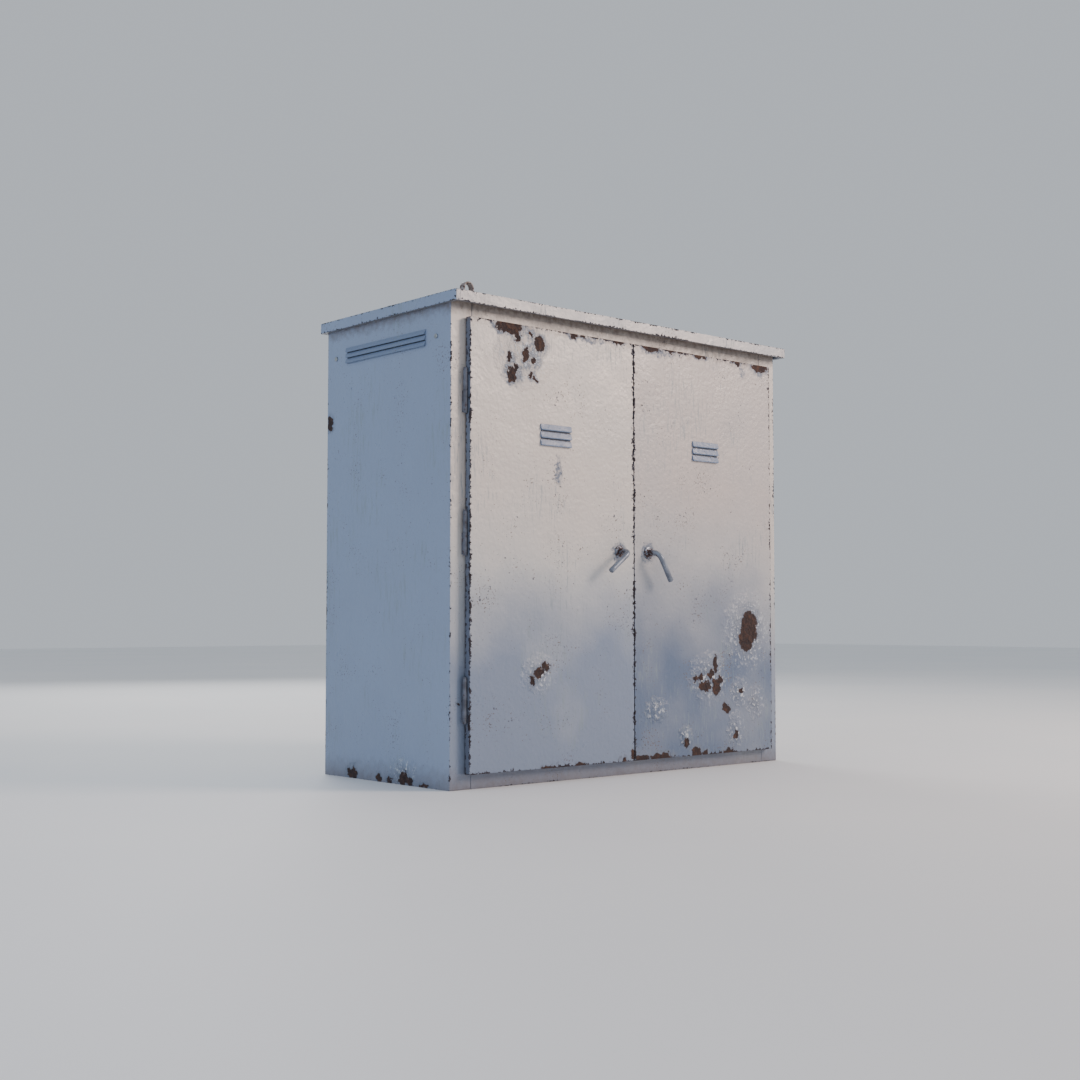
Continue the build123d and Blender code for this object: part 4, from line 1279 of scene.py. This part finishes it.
    @staticmethod
    def pushed(
        shape: Shape, ring: list[bmesh.types.BMEdge], move: Vector, steps: int
    ) -> list[bmesh.types.BMEdge]:
        """Extrudes a ring of edges along a straight move in even steps.

        Args:
            shape: the bmesh.
            ring: edges of the open end.
            move: the whole move.
            steps: how many lengths it is divided into.

        Returns:
            The edges of the new open end.
        """
        for _ in range(steps):
            grown = bmesh.ops.extrude_edge_only(shape, edges=ring)["geom"]
            verts = [g for g in grown if isinstance(g, bmesh.types.BMVert)]
            edges = [g for g in grown if isinstance(g, bmesh.types.BMEdge)]
            ring = [edge for edge in edges if all(vert in verts for vert in edge.verts)]
            bmesh.ops.translate(shape, verts=verts, vec=move / steps)
        return ring


@dataclass
class Equipment:
    """Everything on the mounting plate and in the cable entry."""

    toggles: int = 5
    softened_nodes: tuple[tuple[str, float, str, str], ...] = (
        ("mounting_plate", 0.6, "PLATE", "plate_paint"),
        ("din_rails", 0.25, "ZINC", "zinc_steel"),
        ("breaker_bodies", 0.7, "BREAKER", "breaker_moulding"),
        ("main_switch_body", 1.2, "DEVICE", "device_moulding"),
        ("busbars", 0.5, "COPPER", "copper"),
        ("busbar_supports", 1.0, "RESIN", "insulator"),
        ("copper_links", 0.4, "COPPER", "copper"),
        ("comb_busbar", 0.8, "BREAKER", "breaker_moulding"),
        ("terminal_blocks", 0.4, "TERMINAL", "terminal_moulding"),
        ("wiring_ducts", 0.4, "TRUNKING", "duct_pvc"),
        ("wiring_duct_lids", 0.6, "TRUNKING", "duct_pvc"),
        ("gland_plate", 0.5, "ZINC", "zinc_steel"),
    )
    plain_nodes: tuple[tuple[str, str], ...] = (
        ("bar_insulators", "RESIN"),
        ("neutral_bar", "BRASS"),
        ("earth_bar", "BRASS"),
        ("feeder_leads", "SHEATH"),
        ("outgoing_leads", "SHEATH"),
        ("cable_glands", "NYLON"),
        ("gland_seals", "FOAM"),
    )
    materials: dict[str, Material] = field(default_factory=dict)

    def material(self, finish: str) -> Material:
        """The material of a named finish, made once."""
        if finish not in self.materials:
            self.materials[finish] = Finish[finish].value.material()
        return self.materials[finish]

    def build(self) -> None:
        """Builds and dresses the equipment."""
        for node, width, finish, slot in self.softened_nodes:
            rounded(node, "finished", width, self.material(finish), "cabinet")
        for node, finish in self.plain_nodes:
            dress(node, self.material(finish))
        lever = "main_switch_lever"
        rounded(
            lever, "moulded", 0.7, self.material("LEVER"), "main_switch_handle"
        )
        for number in range(1, self.toggles + 1):
            node = f"breaker_toggle_{number}"
            rounded(
                node, "moulded", 0.5, self.material("TOGGLE"), f"toggle_{number}"
            )


@dataclass
class Hinges:
    """Frame halves of the hinges and their pins."""

    def build(self) -> None:
        """Builds and dresses the hinges."""
        rust = Finish.HINGE.value.material()
        knuckles = "frame_hinge_knuckles"
        rounded(knuckles, "rolled", 0.5, rust, "cabinet")
        dress("hinge_pins", rust)


# ---------------------------------------------------------------- studio


@dataclass
class Studio:
    """Pale floor, soft lights and the camera."""

    azimuth: float = -41.406
    elevation: float = -3.076
    distance: float = 3.549
    aim: Triple = (0.0, 0.0737, 0.528)
    lens: float = 50.0
    floor_size: float = 30.0

    def light(
        self, name: str, place: Triple, size: float, power: float, colour: str, target: Triple
    ) -> None:
        """Adds one soft area light.

        Args:
            name: its name.
            place: where it stands, in metres.
            size: side of its square, in metres.
            power: watts.
            colour: sRGB hex colour.
            target: point it faces.
        """
        data = bpy.data.lights.new(name, "AREA")
        data.shape = "SQUARE"
        data.size = size
        data.energy = power
        data.color = linear(colour)[:3]
        lamp = bpy.data.objects.new(name, data)
        bpy.context.scene.collection.objects.link(lamp)
        lamp.location = place
        lamp.rotation_euler = (Vector(target) - Vector(place)).to_track_quat("-Z", "Y").to_euler()

    def floor(self) -> None:
        """Builds the pale floor, a little uneven in tone."""
        shape = bmesh.new()
        bmesh.ops.create_grid(shape, x_segments=8, y_segments=8, size=self.floor_size / 2)
        mesh = bpy.data.meshes.new("studio_floor")
        shape.to_mesh(mesh)
        shape.free()
        finish = PlainFinish(
            "matt_studio_floor",
            ("#EFEFEF", "#EBECED", "#E4E4E4"),
            marks=(900.0, 40.0, 0.9),
            gloss=(0.6, 0.7),
            grain=(4.0, 0.02),
        )
        mesh.materials.append(finish.material())
        floor = bpy.data.objects.new("studio_floor", mesh)
        bpy.context.scene.collection.objects.link(floor)

    def camera(self) -> None:
        """Sets the camera at its viewing angle."""
        data = bpy.data.cameras.new("view")
        data.lens = self.lens
        data.sensor_width = 36.0
        camera = bpy.data.objects.new("view", data)
        bpy.context.scene.collection.objects.link(camera)
        turn, tilt = math.radians(self.azimuth), math.radians(self.elevation)
        back = Vector(
            (math.sin(turn) * math.cos(tilt), -math.cos(turn) * math.cos(tilt), math.sin(tilt))
        )
        camera.location = Vector(self.aim) + back * self.distance
        camera.rotation_euler = (-back).to_track_quat("-Z", "Y").to_euler()
        bpy.context.scene.camera = camera

    def build(self) -> None:
        """Builds the whole studio."""
        self.floor()
        self.camera()
        world = bpy.data.worlds.new("soft_room")
        world.use_nodes = True
        background = world.node_tree.nodes["Background"]
        background.inputs[0].default_value = linear("#DCE3EC")
        background.inputs[1].default_value = 0.74
        bpy.context.scene.world = world
        middle = (0.0, 0.0, 0.5)
        self.light("key_light", (2.9, -3.4, 2.5), 1.7, 185.0, "#FFE6D6", (0.0, 0.0, 0.75))
        self.light("cool_fill", (-4.6, -0.6, 1.8), 3.0, 50.0, "#B9CFF2", middle)
        self.light("back_light", (1.5, 4.2, 2.6), 2.4, 90.0, "#F4F2F0", middle)


# ---------------------------------------------------------------- the cabinet's own wear


def on_skin(*rows: tuple[float, float, float, float]) -> tuple[Spot, ...]:
    """Places worn spots on the doors' front skins.

    Args:
        *rows: x, z, half-width and half-height of each spot, in millimetres.

    Returns:
        The spots.
    """
    return tuple(
        Spot((x, DOOR_SKIN, z), (width, SKIN_REACH, height)) for x, z, width, height in rows
    )


LEFT_SPOTS = on_skin(
    (-362, 944, 34, 13),
    (-340, 928, 10, 10),
    (-278, 918, 15, 15),
    (-316, 890, 8, 15),
    (-354, 844, 13, 16),
    (-363, 882, 6, 9),
    (-303, 934, 6, 7),
    (-296, 880, 7, 6),
    (-345, 862, 7, 8),
    (-302, 849, 5, 7),
    (-289, 841, 6, 6),
    (-180, 949, 11, 9),
    (-157, 950, 8, 7),
    (-46, 951, 16, 7),
    (-262, 243, 11, 9),
    (-280, 229, 13, 10),
    (-298, 214, 7, 10),
    (-248, 30, 24, 6),
    (-166, 31, 16, 6),
    (-32, 34, 9, 9),
    (-4, 45, 5, 12),
)
LEFT_BLISTERS = on_skin((-280, 226, 42, 36), (-320, 890, 70, 60))
LEFT_HALOS = on_skin(
    (-282, 912, 30, 26),
    (-300, 934, 22, 14),
    (-312, 884, 20, 26),
    (-292, 880, 20, 22),
    (-350, 848, 30, 26),
    (-356, 876, 16, 18),
    (-296, 845, 16, 12),
    (-130, 944, 46, 8),
    (-280, 228, 24, 18),
    (-225, 655, 10, 34),
    (-45, 488, 22, 24),
)
RIGHT_HALOS = on_skin(
    (378, 308, 46, 58),
    (45, 488, 22, 24),
    (250, 205, 44, 32),
    (301, 136, 18, 16),
    (352, 172, 13, 12),
    (408, 145, 14, 16),
    (336, 74, 16, 18),
    (90, 944, 50, 12),
    (364, 928, 11, 13),
    (430, 938, 22, 15),
)
RIGHT_SPOTS = on_skin(
    (384, 320, 28, 38),
    (372, 292, 22, 26),
    (262, 238, 9, 16),
    (250, 212, 9, 12),
    (229, 186, 17, 12),
    (267, 186, 13, 18),
    (198, 206, 9, 8),
    (216, 207, 8, 8),
    (281, 201, 8, 9),
    (301, 135, 13, 11),
    (336, 73, 7, 9),
    (354, 173, 6, 6),
    (165, 60, 8, 9),
    (55, 950, 24, 10),
    (117, 951, 12, 7),
    (150, 951, 9, 5),
    (221, 950, 20, 6),
    (343, 951, 15, 6),
    (430, 947, 26, 11),
    (22, 35, 20, 7),
    (81, 33, 34, 10),
    (198, 36, 16, 13),
    (226, 33, 10, 8),
    (308, 33, 16, 8),
)
RIGHT_BLISTERS = on_skin(
    (378, 310, 76, 86),
    (245, 205, 62, 52),
    (352, 170, 34, 30),
    (408, 145, 30, 34),
    (338, 85, 30, 36),
    (164, 76, 20, 22),
    (71, 139, 34, 24),
)


def main() -> None:
    """Builds the cabinet's looks on its CAD frame, then the studio round it."""
    logging.basicConfig(level=logging.INFO, format="%(message)s")
    for leftover in list(bpy.data.objects):
        bpy.data.objects.remove(leftover)
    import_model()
    Studio().build()
    Shell().build()
    Hinges().build()
    Door("left", LEFT_SPOTS, LEFT_HALOS, LEFT_BLISTERS, 53.0, -1.0).build()
    Door(
        "right",
        RIGHT_SPOTS,
        RIGHT_HALOS,
        RIGHT_BLISTERS,
        31.0,
        1.0,
        # the right door's tones are darker and bluer than the left's: painted shade
        ("#B0B1B4", "#BDB4B0", "#5C6C86"),
    ).build()
    Equipment().build()


if __name__ == "__main__":
    main()
